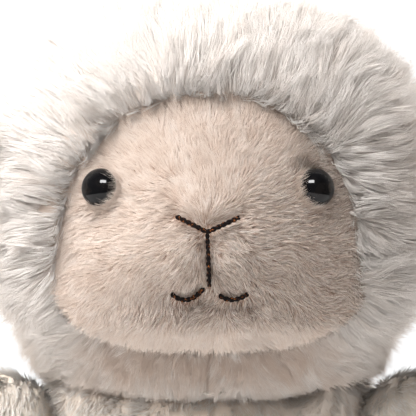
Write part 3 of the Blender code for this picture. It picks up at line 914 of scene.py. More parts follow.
@dataclass
class HeadShape:
    """The egg of the head and the face that is let into its front."""

    centre: Array = fixed(0.0, 0.0, 0.1818)
    half: Array = fixed(0.076, 0.059, 0.0665)
    roundness: float = 2.4
    face_height: float = 0.1638
    face_half_width: float = 0.048
    brow: float = 0.050
    chin: float = 0.0285
    brow_power: float = 2.1
    chin_power: float = 2.8
    muzzle_front: float = 0.0615
    muzzle_depth: float = 0.042
    muzzle_round: float = 0.88
    chin_round: float = 0.74
    brow_lean: float = 0.006
    nose_height: float = 0.1728

    def quarter(self, level: Array) -> tuple[Array, Array]:
        """Choose the outline's power and height above its widest level, or below it.

        Args:
            level: Heights over the widest level.

        Returns:
            The power and the height for each.
        """
        above = level >= 0
        power = np.where(above, self.brow_power, self.chin_power)
        return power, np.where(above, self.brow, self.chin)

    def outline(self, turn: Array) -> tuple[Array, Array]:
        """Follow the face's outline: a superellipse that is fuller below its widest level.

        Args:
            turn: Angles round the outline, from the right.

        Returns:
            The outline's x and z.
        """
        c, s = np.cos(turn), np.sin(turn)
        power, tall = self.quarter(s)
        reach = (np.abs(c) ** power + np.abs(s) ** power) ** (-1 / power)
        return self.face_half_width * c * reach, self.face_height + tall * s * reach

    def front(self, x: Array, z: Array) -> Array:
        """Find the face's surface: a dome over its own radius, leaning back to the brow.

        The radius is the superellipse's own: 0 in the face's middle and 1 on its outline. Below
        the middle the dome keeps more of its depth at the edge, so that the chin hangs over the
        fabric under it. Two puffs stand beside the middle line.

        Args:
            x: Places across.
            z: Heights.

        Returns:
            The y of the surface at each point.
        """
        level = z - self.face_height
        power, tall = self.quarter(level)
        wide = np.abs(x / self.face_half_width) ** power
        reach = np.clip((wide + np.abs(level / tall) ** power) ** (1 / power), 0, 1.08)
        low = ease(-level, 0.0, self.chin)
        round_share = self.muzzle_round + (self.chin_round - self.muzzle_round) * low
        dome = self.muzzle_depth * np.sqrt(np.clip(1 - (round_share * reach) ** 2, 0.0, 1))
        lean = self.brow_lean * (np.maximum(level, 0) / self.brow) ** 2
        puff = 0.0016 * np.exp(-((np.abs(x) - 0.017) ** 2 + (z - 0.1498) ** 2) / 0.011**2)
        return -(self.muzzle_front - self.muzzle_depth) - dome - lean - puff


@dataclass(frozen=True)
class Bump:
    """A soft bump of the face on each side of the middle line, or on it."""

    depth: float
    height: float
    half_width: float
    half_height: float
    across: float = 0.0
    power: int = 2

    def at(self, x: Array, z: Array) -> Array:
        """Return the depth times e to minus the powers of the shares of the half sizes."""
        wide = ((np.abs(x) - self.across) / self.half_width) ** self.power
        return self.depth * np.exp(-wide - ((z - self.height) / self.half_height) ** 2)


@dataclass
class Stitches:
    """Where the embroidery runs on the face, as rows of x and z, and what it draws in."""

    nose: Array = fixed([-0.0097, 0.1757], [-0.0002, 0.1709], [0.0096, 0.1754])
    philtrum: Array = fixed([-0.0002, 0.1706], [0.0004, 0.1542])
    crease: Array = fixed([-0.0270, 0.1832], [-0.0200, 0.1792], [-0.0118, 0.1742])
    mouth_inner: Array = fixed(0.0018, 0.1538)
    mouth_low: Array = fixed(0.0067, 0.1502)
    mouth_outer: Array = fixed(0.0117, 0.1521)
    right_drop: float = 0.0021
    shift: float = 0.0005
    deepest: float = 0.0015
    fold: Bump = Bump(0.0012, 0.1500, 0.024, 0.0045, power=4)
    chin: Bump = Bump(0.0030, 0.1422, 0.026, 0.0046)
    pad: Bump = Bump(0.0019, 0.1590, 0.0055, 0.0065, across=0.0075)
    muzzle: float = 0.0058

    def mouth(self, side: Side, count: int = 13) -> Array:
        """Follow one mouth curve: a quadratic arc through its inner, lowest and outer places.

        Args:
            side: Which of the two curves.
            count: How many places to give.

        Returns:
            Rows of x and z.
        """
        inner, low, outer = self.mouth_inner, self.mouth_low, self.mouth_outer
        if side is Side.RIGHT:
            inner = inner + [self.right_drop / 2, -self.right_drop]
        knee = np.array([low[0], 2 * low[1] - (inner[1] + outer[1]) / 2])
        t = np.linspace(0, 1, count)[:, None]
        curve = (1 - t) ** 2 * inner + 2 * t * (1 - t) * knee + t**2 * outer
        return curve * [side.value, 1.0] + [self.shift, 0.0]

    def dent(self, x: Array, z: Array) -> Array:
        """Find how deep the stitches and the fold under the mouth draw the face in.

        Each line gives a valley that falls off with the square of the distance. The muzzle
        swells over the mouth, with a small pad on each side of the middle line, and the chin
        swells again below the fold.

        Args:
            x: Places across.
            z: Heights.

        Returns:
            The depth at each point, in metres.
        """
        lines = [(self.nose, 0.0011, 0.0028), (self.philtrum, 0.0013, 0.0022)]
        lines += [(self.mouth(side), 0.0014, 0.0026) for side in Side]
        lines += [(self.crease, 0.0007, 0.0015)]
        depth = np.zeros(np.broadcast(x, z).shape)
        for path, deep, wide in lines:
            valley = deep * np.exp(-((distance_to_path(x, z, path) / wide) ** 2))
            depth = np.maximum(depth, valley)
        over = ease(z, 0.1505, 0.1660) * (1 - ease(z, 0.168, 0.200))
        wide = 0.020 + 0.012 * (1 - ease(z, 0.160, 0.180))
        muzzle = self.muzzle * over * np.exp(-((np.abs(x) / wide) ** 3))
        drawn = np.minimum(depth + self.fold.at(x, z), self.deepest)
        return drawn - self.chin.at(x, z) - self.pad.at(x, z) - muzzle


@dataclass
class Hood:
    """The long white pile fabric round the head."""

    shape: HeadShape
    pile_depth: float = 0.0066
    lip: float = 0.010
    hang: float = 0.0055
    chin_roll: float = 0.0062
    seam_depth: float = 0.0020
    seam_width: float = 0.0014
    lean_up: float = 0.55
    last_share: float = 0.985
    row_power: float = 1.15
    around: int = 192
    rows: int = 80
    wisps: int = 3200
    down_wisps: int = 13600
    pile: Pile = Pile(
        length=0.0118, width=0.00032, root_lift=0.78, tip_lift=0.16, wisp_radius=0.0017,
        wisp_pull=0.35, tuft_turn=0.24, tuft_lift=0.05, stray=0.09, softness=3.2,
    )
    down: Pile = Pile(
        length=0.0110, width=0.00030, root_lift=0.60, tip_lift=0.60, wisp_strands=9,
        wisp_radius=0.0016, wisp_pull=0.25, joints=1, tuft_turn=0.24, tuft_lift=0.05,
        stray=0.09, softness=3.2,
    )

    def skin(self) -> Skin:
        """Lay rings from the face's edge to the back of the head.

        Each line of the grid starts on the face's outline and follows the shortest way round
        the egg to the point at the back. Near the outline the surface rolls in towards the
        seam in a quarter round. The pile hangs a little under the chin, and at the sides it is
        shaded as if it leaned up.

        Returns:
            The skin under the pile.
        """
        head = self.shape
        x, z = head.outline(circle(self.around))
        flat = stacked(x, 0.0, z - head.centre[2])
        rest = 1 - (np.abs(flat / head.half) ** head.roundness).sum(-1)
        start = unit(flat - stacked(0.0, head.half[1] * rest ** (1 / head.roundness), 0.0))
        angle = np.arccos(np.clip(start @ BACK, -1, 1))
        along = (np.linspace(0.0, self.last_share, self.rows) ** self.row_power)[:, None] * angle
        rings = np.sin(angle - along)[..., None] * start + np.sin(along)[..., None] * BACK
        rings = rings / np.sin(angle)[:, None]
        reach = (np.abs(rings / head.half) ** head.roundness).sum(-1, keepdims=True)
        outer = Skin(head.centre + rings * reach ** (-1 / head.roundness))
        under = ease(0.140 - outer.rings[..., 2], 0.0, 0.018)
        ring = outer.inset(self.pile_depth * (1 - 0.75 * under)).rings
        away = along * np.linalg.norm(ring - head.centre, axis=-1)
        near = np.clip(1 - away / self.lip, 0, 1)
        roll = self.lip * (1 - np.sqrt(1 - near**2))
        low = ease(head.face_height - 0.012 - ring[..., 2], 0.0, 0.014) * ahead(ring)
        ring = ring + stacked(0.0, roll * (0.9 - 0.3 * low) + self.chin_roll * low, 0.0)
        ring[..., 1] += self.seam_depth * np.exp(-((ring[..., 0] / self.seam_width) ** 2)) * low
        front = ease(-ring[..., 1], 0.004, 0.032)
        ring[..., 2] -= self.hang * front * ease(0.138 - ring[..., 2], 0.0, 0.014)
        z = ring[..., 2]
        up = self.lean_up * ease(z, 0.135, 0.165) * (1 - ease(z, 0.190, 0.225))
        return Skin(ring, unit(outer.normals + stacked(0.0, 0.0, up)))

    def flow(self, spots: Spots) -> Array:
        """Brush the pile away from the muzzle, and more and more downwards behind the head.

        Args:
            spots: Where the pile stands.

        Returns:
            Directions along the skin.
        """
        muzzle = np.array([0.0, -self.shape.muzzle_front, self.shape.face_height + 0.006])
        away, down = spots.along(spots.points - muzzle), spots.along(DOWN)
        behind = ease(spots.points[:, 1], 0.0, 0.05)[:, None]
        return spots.flow(away + 1.1 * behind * down, 0.22, 0.03, 11)

    def build(self, finishes: Finishes) -> None:
        """Make the hood's skin and pile one piece.

        Args:
            finishes: The sheep's materials.
        """
        rng = np.random.default_rng(101)
        skin = self.skin()
        back = ease(skin.rings[..., 1], -0.01, 0.03)
        under = ease(0.142 - skin.rings[..., 2], 0.0, 0.012) * ahead(skin.rings)
        weight = (1 - 0.78 * back) * (1 + 1.6 * under)
        parts = [skin.shell()]
        for pile, wisps in ((self.pile, self.wisps), (self.down, self.down_wisps)):
            spots = skin.spots(wisps, rng, weight)
            x, z = spots.points[:, 0], spots.points[:, 2]
            behind = ease(spots.points[:, 1], -0.01, 0.03)
            low = ease(0.146 - z, 0.0, 0.012) * ahead(spots.points)
            low = low * (1 - ease(np.abs(x), 0.026, 0.048))
            # Painted shade: the band under the chin is tinted darker and warmer, most next to the
            # chin where its shadow falls, and more along the band's middle seam.
            shade = low * ease(z, 0.119, 0.130)
            part = shade * np.exp(-((x / 0.0016) ** 2))
            lip = 1 - ease(spots.share, 0.0, 0.05)
            fur = pile.grow(
                spots,
                self.flow(spots),
                rng,
                seed=201,
                scale=(1 - 0.6 * low) * (1 - 0.25 * lip) * (1 - 0.4 * part),
                width_scale=(1 + 1.3 * behind) * (1 - 0.25 * low),
                rise=-0.1 * lip,
                painted_shading=0.10 * low + 0.32 * shade + 0.2 * part,
                soften=1 - 0.6 * behind,
            )
            parts.append(fur)
        make_piece("hood_pile", parts, finishes.hood, "head", "hood")


@dataclass
class Eye:
    """A glossy black dome with a flat back and the stalk that goes through the fabric."""

    shape: HeadShape
    side: Side
    seat: tuple[float, float] = (0.0333, 0.1845)
    radius: float = 0.006
    rise: float = 0.0046
    rim: float = 0.0008
    sink: float = 0.0009
    stalk_radius: float = 0.0016
    stalk_length: float = 0.012
    around: int = 64

    def place(self) -> Matrix:
        """Stand the eye on the face, looking along the face's normal there.

        Returns:
            The eye's placing.
        """
        step = 0.0007
        x, z = self.side.value * self.seat[0], self.seat[1]
        here, beside, above = (
            float(self.shape.front(np.array(x + right), np.array(z + up)))
            for right, up in ((0.0, 0.0), (step, 0.0), (0.0, step))
        )
        normal = ((beside - here) / step, -1.0, (above - here) / step)
        return aim_frame((x, here, z), normal, ALONG_Z)

    def outside(self, points: Array) -> Array:
        """Return how far points lie outside the eye's edge, across the eye's axis."""
        local = placed(points, self.place().inverted())
        return np.hypot(local[..., 0], local[..., 1]) - self.radius

    def fringe(self, x: Array, z: Array) -> Array:
        """Return how much the pile hangs over the edge: on the eye's inner and lower side."""
        across = -self.side.value * (x - self.side.value * self.seat[0])
        return ease(0.75 * across - 0.65 * (z - self.seat[1]), -0.001, 0.0035)

    def build(self, finishes: Finishes) -> None:
        """Turn the eye's profile about its axis: stalk, flat back, upright rim, dome.

        Args:
            finishes: The sheep's materials.
        """
        back, stalk = -self.sink, self.stalk_radius
        lower = [
            (stalk * 0.9, -self.stalk_length), (stalk, -self.stalk_length + 0.0003),
            (stalk, back), (self.radius - self.rim, back),
            (self.radius - self.rim * 0.25, back + self.rim * 0.35),
        ]
        turn = np.linspace(0, math.pi / 2, 26)[:-1]
        dome = (self.radius * np.cos(turn), back + self.rim + self.rise * np.sin(turn))
        r, h = np.concatenate([lower, stacked(*dome)]).T[..., None]
        turn = circle(self.around)
        shell = Skin(placed(stacked(r * np.cos(turn), r * np.sin(turn), h), self.place())).shell()
        shell.facing = None
        word = self.side.word
        make_piece(f"eye_dome_{word}", [shell], finishes.eye, "head", f"eye_{word}")


@dataclass
class Face:
    """The short peach pile fabric of the face."""

    shape: HeadShape
    stitches: Stitches
    eyes: list[Eye]
    pile_depth: float = 0.0024
    wall: float = 0.0032
    around: int = 224
    back_rows: int = 14
    rows: int = 96
    spikes: int = 108000
    lash_spots: int = 10000
    lash_band: float = 0.0012
    lash_spread: float = 0.45
    thread_gap: float = 0.0009
    philtrum_gap: float = 0.0006
    valley: float = 0.0010
    valley_loss: float = 0.0009
    valley_width: float = 0.004
    pile: Pile = Pile(
        length=0.0032, width=0.00021, root_lift=0.55, tip_lift=0.55, wisp_strands=2,
        wisp_radius=0.0004, wisp_pull=0.1, joints=1, tuft_size=0.005, tuft_turn=0.25,
        tuft_lift=0.05, stray=0.13, length_spread=0.16, softness=1.2,
    )
    lash: Pile = Pile(
        length=0.0036, width=0.00014, root_lift=1.34, tip_lift=1.34, wisp_strands=2,
        wisp_radius=0.0003, wisp_pull=0.0, joints=1, stray=0.13, length_spread=0.25,
    )

    def skin(self) -> Skin:
        """Lay rings from the middle of the panel's back, round its edge, to its front's middle.

        Each ring is the face's outline times a share.

        Returns:
            The skin under the pile.
        """
        head = self.shape
        edge_x, edge_z = head.outline(circle(self.around))
        shares = [np.linspace(0.02, 1.0, self.back_rows), np.linspace(1.0, 0.006, self.rows)]
        share = np.concatenate(shares)[:, None]
        x, z = edge_x * share, head.face_height + (edge_z - head.face_height) * share
        y = head.front(x, z) + self.pile_depth
        front = y + self.stitches.dent(x, z)
        y = np.where(self.is_front(), front + self.rim(x, front, z), y + self.wall)
        return Skin(stacked(x, y, z))

    def is_front(self) -> Array:
        """Return which of the skin's rings lie on the panel's front."""
        return (np.arange(self.back_rows + self.rows) >= self.back_rows)[:, None]

    def rim(self, x: Array, y: Array, z: Array) -> Array:
        """Draw the skin in round each eye, in a valley that falls off from the eye's edge.

        Args:
            x: Places across.
            y: The skin's depths.
            z: Heights.

        Returns:
            The valley's depth, which is less under the fringe.
        """
        depth = np.zeros(x.shape)
        for eye in self.eyes:
            away = eye.outside(stacked(x, y, z))
            near = np.exp(-((np.maximum(away, 0) / self.valley_width) ** 2))
            depth = depth + (self.valley - self.valley_loss * eye.fringe(x, z)) * near
        return depth

    def lashes(self, skin: Skin, eye: Eye, rng: Random) -> Shell:
        """Grow the finer hairs that stand at an eye's inner and lower edge and reach over it.

        Args:
            skin: The face's skin.
            eye: The eye.
            rng: The source of the hairs' differences.

        Returns:
            The hairs.
        """
        middle = np.array([eye.side.value * eye.seat[0], 0.0, eye.seat[1]])
        near = np.abs(eye.outside(skin.rings)) < 0.003
        spots = skin.spots(self.lash_spots, rng, near * self.is_front() + 1e-9)
        x, z = spots.points[:, 0], spots.points[:, 2]
        out = eye.outside(spots.points)
        chosen = rng.random(len(x)) < eye.fringe(x, z)
        spots = spots.kept((out > 0) & (out < self.lash_band) & chosen)
        inward = spots.along((middle - spots.points) * [1.0, 0.0, 1.0])
        flow = turned(inward, spots.normals, rng.normal(0, self.lash_spread, len(inward)))
        return self.lash.grow(spots, flow, rng, seed=205)

    def build(self, finishes: Finishes) -> None:
        """Make the face's skin and pile one piece.

        The pile stands clear of the eyes and the thread, is shorter beside the thread and rises
        round the eyes. Its strands differ more in the shade of the muzzle.

        Args:
            finishes: The sheep's materials.
        """
        rng = np.random.default_rng(102)
        skin, sewn = self.skin(), self.stitches
        shown = self.is_front() * np.ones(self.around)
        spots = skin.spots(self.spikes // self.pile.wisp_strands, rng, shown)
        x, z = spots.points[:, 0], spots.points[:, 2]
        wide = (sewn.nose, *(sewn.mouth(side) for side in Side))
        paths = [(path, self.thread_gap) for path in wide] + [(sewn.philtrum, self.philtrum_gap)]
        gaps = [distance_to_path(x, z, path) for path, _ in paths]
        clear = np.all([gap > bare for gap, (_, bare) in zip(gaps, paths)], 0)
        for eye in self.eyes:
            clear &= eye.outside(spots.points) > -0.0002
        spots, beside = spots.kept(clear), np.min(gaps, 0)[clear]
        nose = np.array([0.0, -self.shape.muzzle_front, self.shape.nose_height])
        x, z = spots.points[:, 0], spots.points[:, 2]
        rise, hung = np.zeros(len(x)), np.zeros(len(x))
        for eye in self.eyes:
            near = 1 - ease(eye.outside(spots.points), 0.0004, 0.003)
            rise, hung = rise + 0.5 * near, hung + near * eye.fringe(x, z)
        scale = (0.62 + 0.38 * ease(beside, 0.0005, 0.005)) * (1 + 0.25 * rise + 0.3 * hung)
        chin = 1 - ease(z, 0.139, 0.147)
        # Painted shade and painted highlights: more dark and pale strands towards the muzzle's
        # right and lower side, away from the key light.
        painted_shade_grain = 0.06 + 1.30 * ease(x + 1.2 * (0.172 - z), -0.02, 0.03)
        painted_shade_grain = painted_shade_grain * (1 - 0.9 * chin)
        fur = self.pile.grow(
            spots,
            spots.flow(spots.points - nose, 0.3, 0.018, 12),
            rng,
            seed=202,
            scale=scale,
            width_scale=1 + 0.45 * painted_shade_grain,
            rise=rise,
            # Painted light: the chin's strands are tinted paler, towards the cool colour.
            painted_shading=-0.2 * chin,
            painted_shade_grain=painted_shade_grain,
        )
        parts = [skin.shell(), fur, *(self.lashes(skin, eye, rng) for eye in self.eyes)]
        make_piece("face_pile", parts, finishes.peach, "head", "face_panel")


def tube(path: Array, radius: Array, around: int = 8) -> Shell:
    """Carry a circle along a path, and close both ends.

    At each point the circle stands across the path; its first axis is the one that lies
    nearest to -Y.

    Args:
        path: The path's points.
        radius: The circle's radius at each point.
        around: How many points the circle has.

    Returns:
        The closed tube.
    """
    first, second = across_path(path)
    turn = circle(around)[None, :, None]
    rings = np.cos(turn) * first[:, None] + np.sin(turn) * second[:, None]
    shell = Skin(path[:, None] + radius[:, None, None] * rings).shell()
    shell.facing = None
    return shell


def across_path(path: Array) -> tuple[Array, Array]:
    """Find two directions across a path: the one nearest to -Y, and the one square to it.

    Args:
        path: The path's points.

    Returns:
        The two unit directions at each point.
    """
    heading = unit(np.gradient(path, axis=0))
    out = along_surface(FORWARD, heading)
    return out, np.cross(heading, out)


@dataclass
class Embroidery:
    """The twisted thread of the nose, the line under it and the mouth."""

    shape: HeadShape
    stitches: Stitches
    ply_radius: float = 0.00045
    twist_radius: float = 0.00036
    pitch: float = 0.0034
    step: float = 0.00025

    def twisted(self, line: Array, sink: float, size: float = 1.0) -> Shell:
        """Lay two plies in a double helix round a line on the face.

        Args:
            line: The line's corners, as rows of x and z.
            sink: How far behind the drawn-in face the thread's middle lies.
            size: The thread's thickness, as a share of its own.

        Returns:
            The thread.
        """
        run = np.concatenate([[0], np.cumsum(np.linalg.norm(np.diff(line, axis=0), axis=1))])
        way = np.linspace(0, run[-1], max(int(run[-1] / self.step), 12))
        x, z = (smoothed(np.interp(way, run, line[:, axis]), 4) for axis in (0, 1))
        path = stacked(x, self.shape.front(x, z) + self.stitches.dent(x, z) + sink, z)
        out, side = across_path(path)
        end = np.minimum(way, way[-1] - way)
        plump = size * (0.45 + 0.55 * np.sqrt(np.clip(end / 0.0006, 0, 1)))
        plies = []
        for phase in (0.0, math.pi):
            turn = (FULL_TURN * way / self.pitch + phase)[:, None]
            swing = np.cos(turn) * out + np.sin(turn) * side
            plies.append(tube(path + swing * self.twist_radius * size, self.ply_radius * plump))
        return Shell.joined(plies)

    def build(self, finishes: Finishes) -> None:
        """Make the four lines of thread.

        Args:
            finishes: The sheep's materials.
        """
        lines = [
            ("nose_{}", self.stitches.nose, -0.0005, 1.0),
            ("philtrum_{}", self.stitches.philtrum, 0.0001, 0.85),
        ]
        for side in Side:
            lines.append((f"mouth_{{}}_{side.word}", self.stitches.mouth(side), -0.0004, 1.0))
        for name, line, sink, size in lines:
            thread, node = name.format("thread"), name.format("stitch")
            parts = [self.twisted(line, sink, size)]
            make_piece(thread, parts, finishes.thread, "head", node)


@dataclass
class Ear:
    """A soft ear of two leaves: a cream back and a peach lining.

    The outline's rows are a share of the length and the width there, as a share.
    """

    shape: HeadShape
    side: Side
    length: float = 0.052
    half_width: float = 0.016
    back: float = 0.0050
    lining: float = 0.0035
    root_radius: float = 0.010
    root_lift: float = 0.0045
    forward: float = 0.028
    height: float = 0.0195
    aim: Triple = (0.85, -0.30, -0.43)
    twist: float = math.radians(25)
    pile_depth: float = 0.0009
    rows: int = 40
    around: int = 48
    spikes: int = 6000
    outline: Array = fixed(
        [0.0, 0.50], [0.16, 0.52], [0.34, 0.80], [0.55, 1.00], [0.76, 0.86], [0.91, 0.52],
        [1.0, 0.0],
    )
    pile: Pile = Pile(
        length=0.0042, width=0.00036, root_lift=0.5, tip_lift=0.5, wisp_strands=3,
        wisp_radius=0.0007, wisp_pull=0.2, joints=1, stray=0.12,
    )

    def place(self) -> Matrix:
        """Stand the ear's root on the side of the head, as the CAD frame has it.

        Returns:
            The ear's placing.
        """
        head, s = self.shape, self.side.value
        rest = 1 - abs(self.forward / head.half[1]) ** head.roundness
        rest -= abs(self.height / head.half[2]) ** head.roundness
        reach = head.half[0] * rest ** (1 / head.roundness)
        offset = np.array([s * reach, -self.forward, self.height])
        slope = np.sign(offset) * np.abs(offset / head.half) ** (head.roundness - 1) / head.half
        root = head.centre + offset + unit(slope) * self.root_lift
        up = (0, -math.sin(self.twist), math.cos(self.twist))
        return aim_frame(root, (s * self.aim[0], *self.aim[1:]), up)

    def leaf(self, near: float, far: float) -> Skin:
        """Shape a leaf: an oval section that widens, narrows and thins to the tip.

        Args:
            near: One face's distance from the ear's middle plane.
            far: The other face's distance.

        Returns:
            The leaf's surface.
        """
        rows, turn = np.linspace(0, 0.995, self.rows), circle(self.around)
        wide = smoothed(np.interp(rows, *self.outline.T), 3) * self.half_width
        start = -self.root_radius / 2
        z = start + (self.length - start) * rows
        half = abs(far - near) / 2 * np.sqrt(np.clip(1 - rows**4, 0, 1))
        x, y = wide[:, None] * np.cos(turn), (near + far) / 2 + half[:, None] * np.sin(turn)
        return Skin(placed(stacked(x, y, z[:, None]), self.place()))

    def build(self, finishes: Finishes) -> None:
        """Make both leaves, each with its own pile on the side that shows.

        Args:
            finishes: The sheep's materials.
        """
        s, gap = self.side.value, 0.0001
        leaves = (
            ("back", -s * gap, -s * self.back, finishes.cream, "cream_pile", 103),
            ("lining", s * gap, s * self.lining, finishes.peach, "peach_pile", 104),
        )
        turn = self.place().to_3x3()
        tip, facing = (np.array(turn @ Vector(axis)) for axis in (ALONG_Z, ALONG_Y))
        for word, near, far, material, slot, seed in leaves:
            rng = np.random.default_rng(seed + s)
            leaf = self.leaf(near, far)
            out = (leaf.normals * facing).sum(-1) * np.sign(far)
            skin = leaf.inset(self.pile_depth * ease(out, -0.6, 0.4))
            weight = ease(out, -0.35, 0.1) + 0.001
            spots = skin.spots(self.spikes // self.pile.wisp_strands, rng, weight)
            parts = [skin.shell(), self.pile.grow(spots, spots.along(tip), rng, seed + 100)]
            body = f"ear_{self.side.word}"
            node = f"{body}_{word}"
            make_piece(f"{node}_pile", parts, material, body, node)


# ---- body and limbs


@dataclass
class Body:
    """The pear-shaped body with its long pile, flat where it sits.

    The outline's rows are a share of the height and the width and depth there, as shares.
    """

    width: float = 0.124
    depth: float = 0.100
    height: float = 0.121
    pile_depth: float = 0.0050
    shoulder_rise: float = 0.0080
    rows: int = 72
    around: int = 128
    wisps: int = 6000
    outline: Array = fixed(
        [-0.004, 0.66, 0.66], [0.03, 0.80, 0.80], [0.10, 0.93, 0.94], [0.22, 1.00, 1.01],
        [0.38, 0.99, 1.00], [0.55, 0.95, 0.95], [0.70, 0.92, 0.89], [0.82, 0.91, 0.82],
        [0.90, 0.90, 0.74], [0.945, 0.88, 0.66], [0.974, 0.83, 0.57], [1.0, 0.70, 0.54],
    )
    pile: Pile = Pile(
        length=0.0092, width=0.00038, root_lift=0.62, tip_lift=0.62, wisp_strands=7,
        wisp_radius=0.0019, wisp_pull=0.3, joints=1, tuft_size=0.010, tuft_turn=0.16,
        tuft_lift=0.09, stray=0.12, softness=2.4,
    )

    def skin(self) -> Skin:
        """Stack ellipses from the seat to the neck, with the shoulders drawn up under the head.

        Returns:
            The skin under the pile.
        """
        share = np.linspace(0.0, 0.99, self.rows)
        heights, *sizes = self.outline.T
        wide, deep = (smoothed(np.interp(share, heights, size), 6)[:, None] for size in sizes)
        turn = circle(self.around)
        x = wide * self.width / 2 * np.cos(turn)
        y = deep * self.depth / 2 * np.sin(turn)
        z = (share * self.height)[:, None] + 0 * turn
        top = ease(z, 0.100, 0.118)
        z = z + self.shoulder_rise * top * ease(np.abs(x), 0.026, 0.042)
        return on_floor(Skin(stacked(x, y, z)).inset(self.pile_depth * (1 - 0.5 * top)))

    def build(self, finishes: Finishes) -> None:
        """Make the body's skin and pile one piece, with closer and shorter pile on the chest.

        Args:
            finishes: The sheep's materials.
        """
        rng = np.random.default_rng(105)
        skin = self.skin()
        spots = skin.spots(self.wisps, rng, 1 + 1.2 * self.chest(skin.rings))
        front, high = self.chest(spots.points), ease(spots.points[:, 2], 0.100, 0.115)
        flow = spots.flow(DOWN, 0.3, 0.03, 13)
        scale = 1 - 0.25 * front - 0.3 * high
        fur = self.pile.grow(spots, flow, rng, 203, scale, 1 - 0.2 * front)
        parts = [skin.shell(), fur]
        make_piece("body_pile", parts, finishes.coat, "body", "body_cover")

    def chest(self, points: Array) -> Array:
        """Return how much each point belongs to the chest."""
        return ease(points[..., 2], 0.085, 0.105) * ahead(points)


def on_floor(skin: Skin) -> Skin:
    """Return a skin with no point below the floor's clearance."""
    level = np.maximum(skin.rings[..., 2:], FLOOR_CLEARANCE * 2)
    return Skin(np.concatenate([skin.rings[..., :2], level], -1))


def limb_profile(root: float, waist: float, end: float, length: float, steps: int) -> Array:
    """Follow a limb's outline: a round root, an eased waist and a swelling, rounded end.

    Args:
        root: The root's radius.
        waist: The waist's radius.
        end: The end's radius.
        length: From the root's middle to the tip.
        steps: How many points each of the three parts has.

    Returns:
        Rows of radius and distance, without the two points on the axis.
    """
    meet = math.asin(math.sqrt(1 - (waist / root) ** 2))
    a = np.linspace(-math.pi / 2, meet, steps)[1:]
    first = stacked(root * np.cos(a), root * np.sin(a))
    start, stop = first[-1, 1], length - end
    t = np.linspace(0, 1, steps)[1:]
    second = stacked(waist + (end - waist) * t * t * (3 - 2 * t), start + (stop - start) * t)
    b = np.linspace(0, math.pi / 2, steps)[1:-1]
    third = stacked(end * np.cos(b), stop + end * np.sin(b))
    return np.concatenate([first, second, third])


@dataclass
class Limb:
    """A soft arm, leg or tail with short pile brushed to its end."""

    name: str
    slot: str
    root: Triple
    aim: Triple
    up: Triple
    radii: Triple
    length: float
    spikes: int
    pile: Pile
    seed: int
    rise: float = 0.0
    outward: float = 0.0
    pile_depth: float = 0.0021
    fill: float = 0.75
    thin_root: float = 0.3
    steps: int = 22
    around: int = 72

    def skin(self) -> Skin:
        """Turn the profile about the limb's axis; an end that stands up is carried upwards.

        Returns:
            The skin under the pile, shaded as if its outer side leaned outward.
        """
        r, z = limb_profile(*self.radii, self.length, self.steps).T[..., None]
        turn = circle(self.around)
        lift = self.rise * np.maximum(0, z / self.length) ** 2 * r / max(self.radii)
        rings = stacked(r * np.cos(turn) + lift * (1 + np.cos(turn)), r * np.sin(turn), z)
        place = aim_frame(self.root, self.aim, self.up)
        skin = on_floor(Skin(placed(rings, place)).inset(self.pile_depth))
        share = ease(skin.normals[..., :1] * np.sign(self.outward), -0.8, -0.1)
        skin.facing = unit(skin.normals + share * [self.outward, 0.0, abs(self.outward) * 0.4])
        return skin

    def build(self, material: Material, node: str) -> None:
        """Make the limb's skin and pile one piece, with thin pile inside the seam.

        Args:
            material: The pile's material.
            node: The CAD node that it stands for.
        """
        rng = np.random.default_rng(self.seed)
        skin, aim = self.skin(), unit(np.array(self.aim))
        rest = (skin.rings - np.array(self.root)) @ aim
        weight = self.thin_root + (1 - self.thin_root) * ease(rest, -0.024, -0.018)
        spots = skin.spots(self.spikes // self.pile.wisp_strands, rng, weight)
        flow = spots.flow(aim, 0.25, 0.025, self.seed)
        parts = [skin.shell(), self.pile.grow(spots, flow, rng, self.seed + 100)]
        make_piece(f"{self.name}_pile", parts, material, self.name, node)


@dataclass
class Limbs:
    """Both arms, both legs and the tail."""

    short: Pile = Pile(
        length=0.0042, width=0.00032, root_lift=0.5, tip_lift=0.5, wisp_strands=2,
        wisp_radius=0.0005, wisp_pull=0.1, joints=1, stray=0.1, tuft_lift=0.05,
        tuft_turn=0.14, softness=2.2,
    )
    long: Pile = Pile(
        length=0.0090, width=0.0007, root_lift=0.9, tip_lift=0.35, wisp_strands=6,
        wisp_radius=0.0014,
    )

    def build(self, finishes: Finishes) -> None:
        """Make the five limbs where the CAD frame has them.

        Args:
            finishes: The sheep's materials.
        """
        for side in Side:
            s = side.value
            pair = (
                Limb(
                    f"arm_{side.word}", "cream_pile", (s * 0.066229, -0.006, 0.105),
                    (s * 0.50, -0.33, -0.80), ALONG_Y, (0.022, 0.0172, 0.0215), 0.086, 24000,
                    self.short, 110 + s, outward=1.2 * s,
                ),
                Limb(
                    f"leg_{side.word}", "cream_pile", (s * 0.038, -0.047823, 0.0215),
                    (s * 0.28, -0.96, 0.0), ALONG_Z, (0.022, 0.0188, 0.0220), 0.084, 14000,
                    self.short, 120 + s, rise=0.006,
                ),
            )
            for limb in pair:
                limb.build(finishes.cream, f"{limb.name}_cover")
        tail = Limb(
            "tail", "long_pile", (0.0, 0.055154, 0.040), (0.0, 0.86, -0.50), ALONG_Z,
            (0.009, 0.0078, 0.0095), 0.032, 3000, self.long, 130, pile_depth=0.0040,
        )
        tail.build(finishes.coat, "tail")


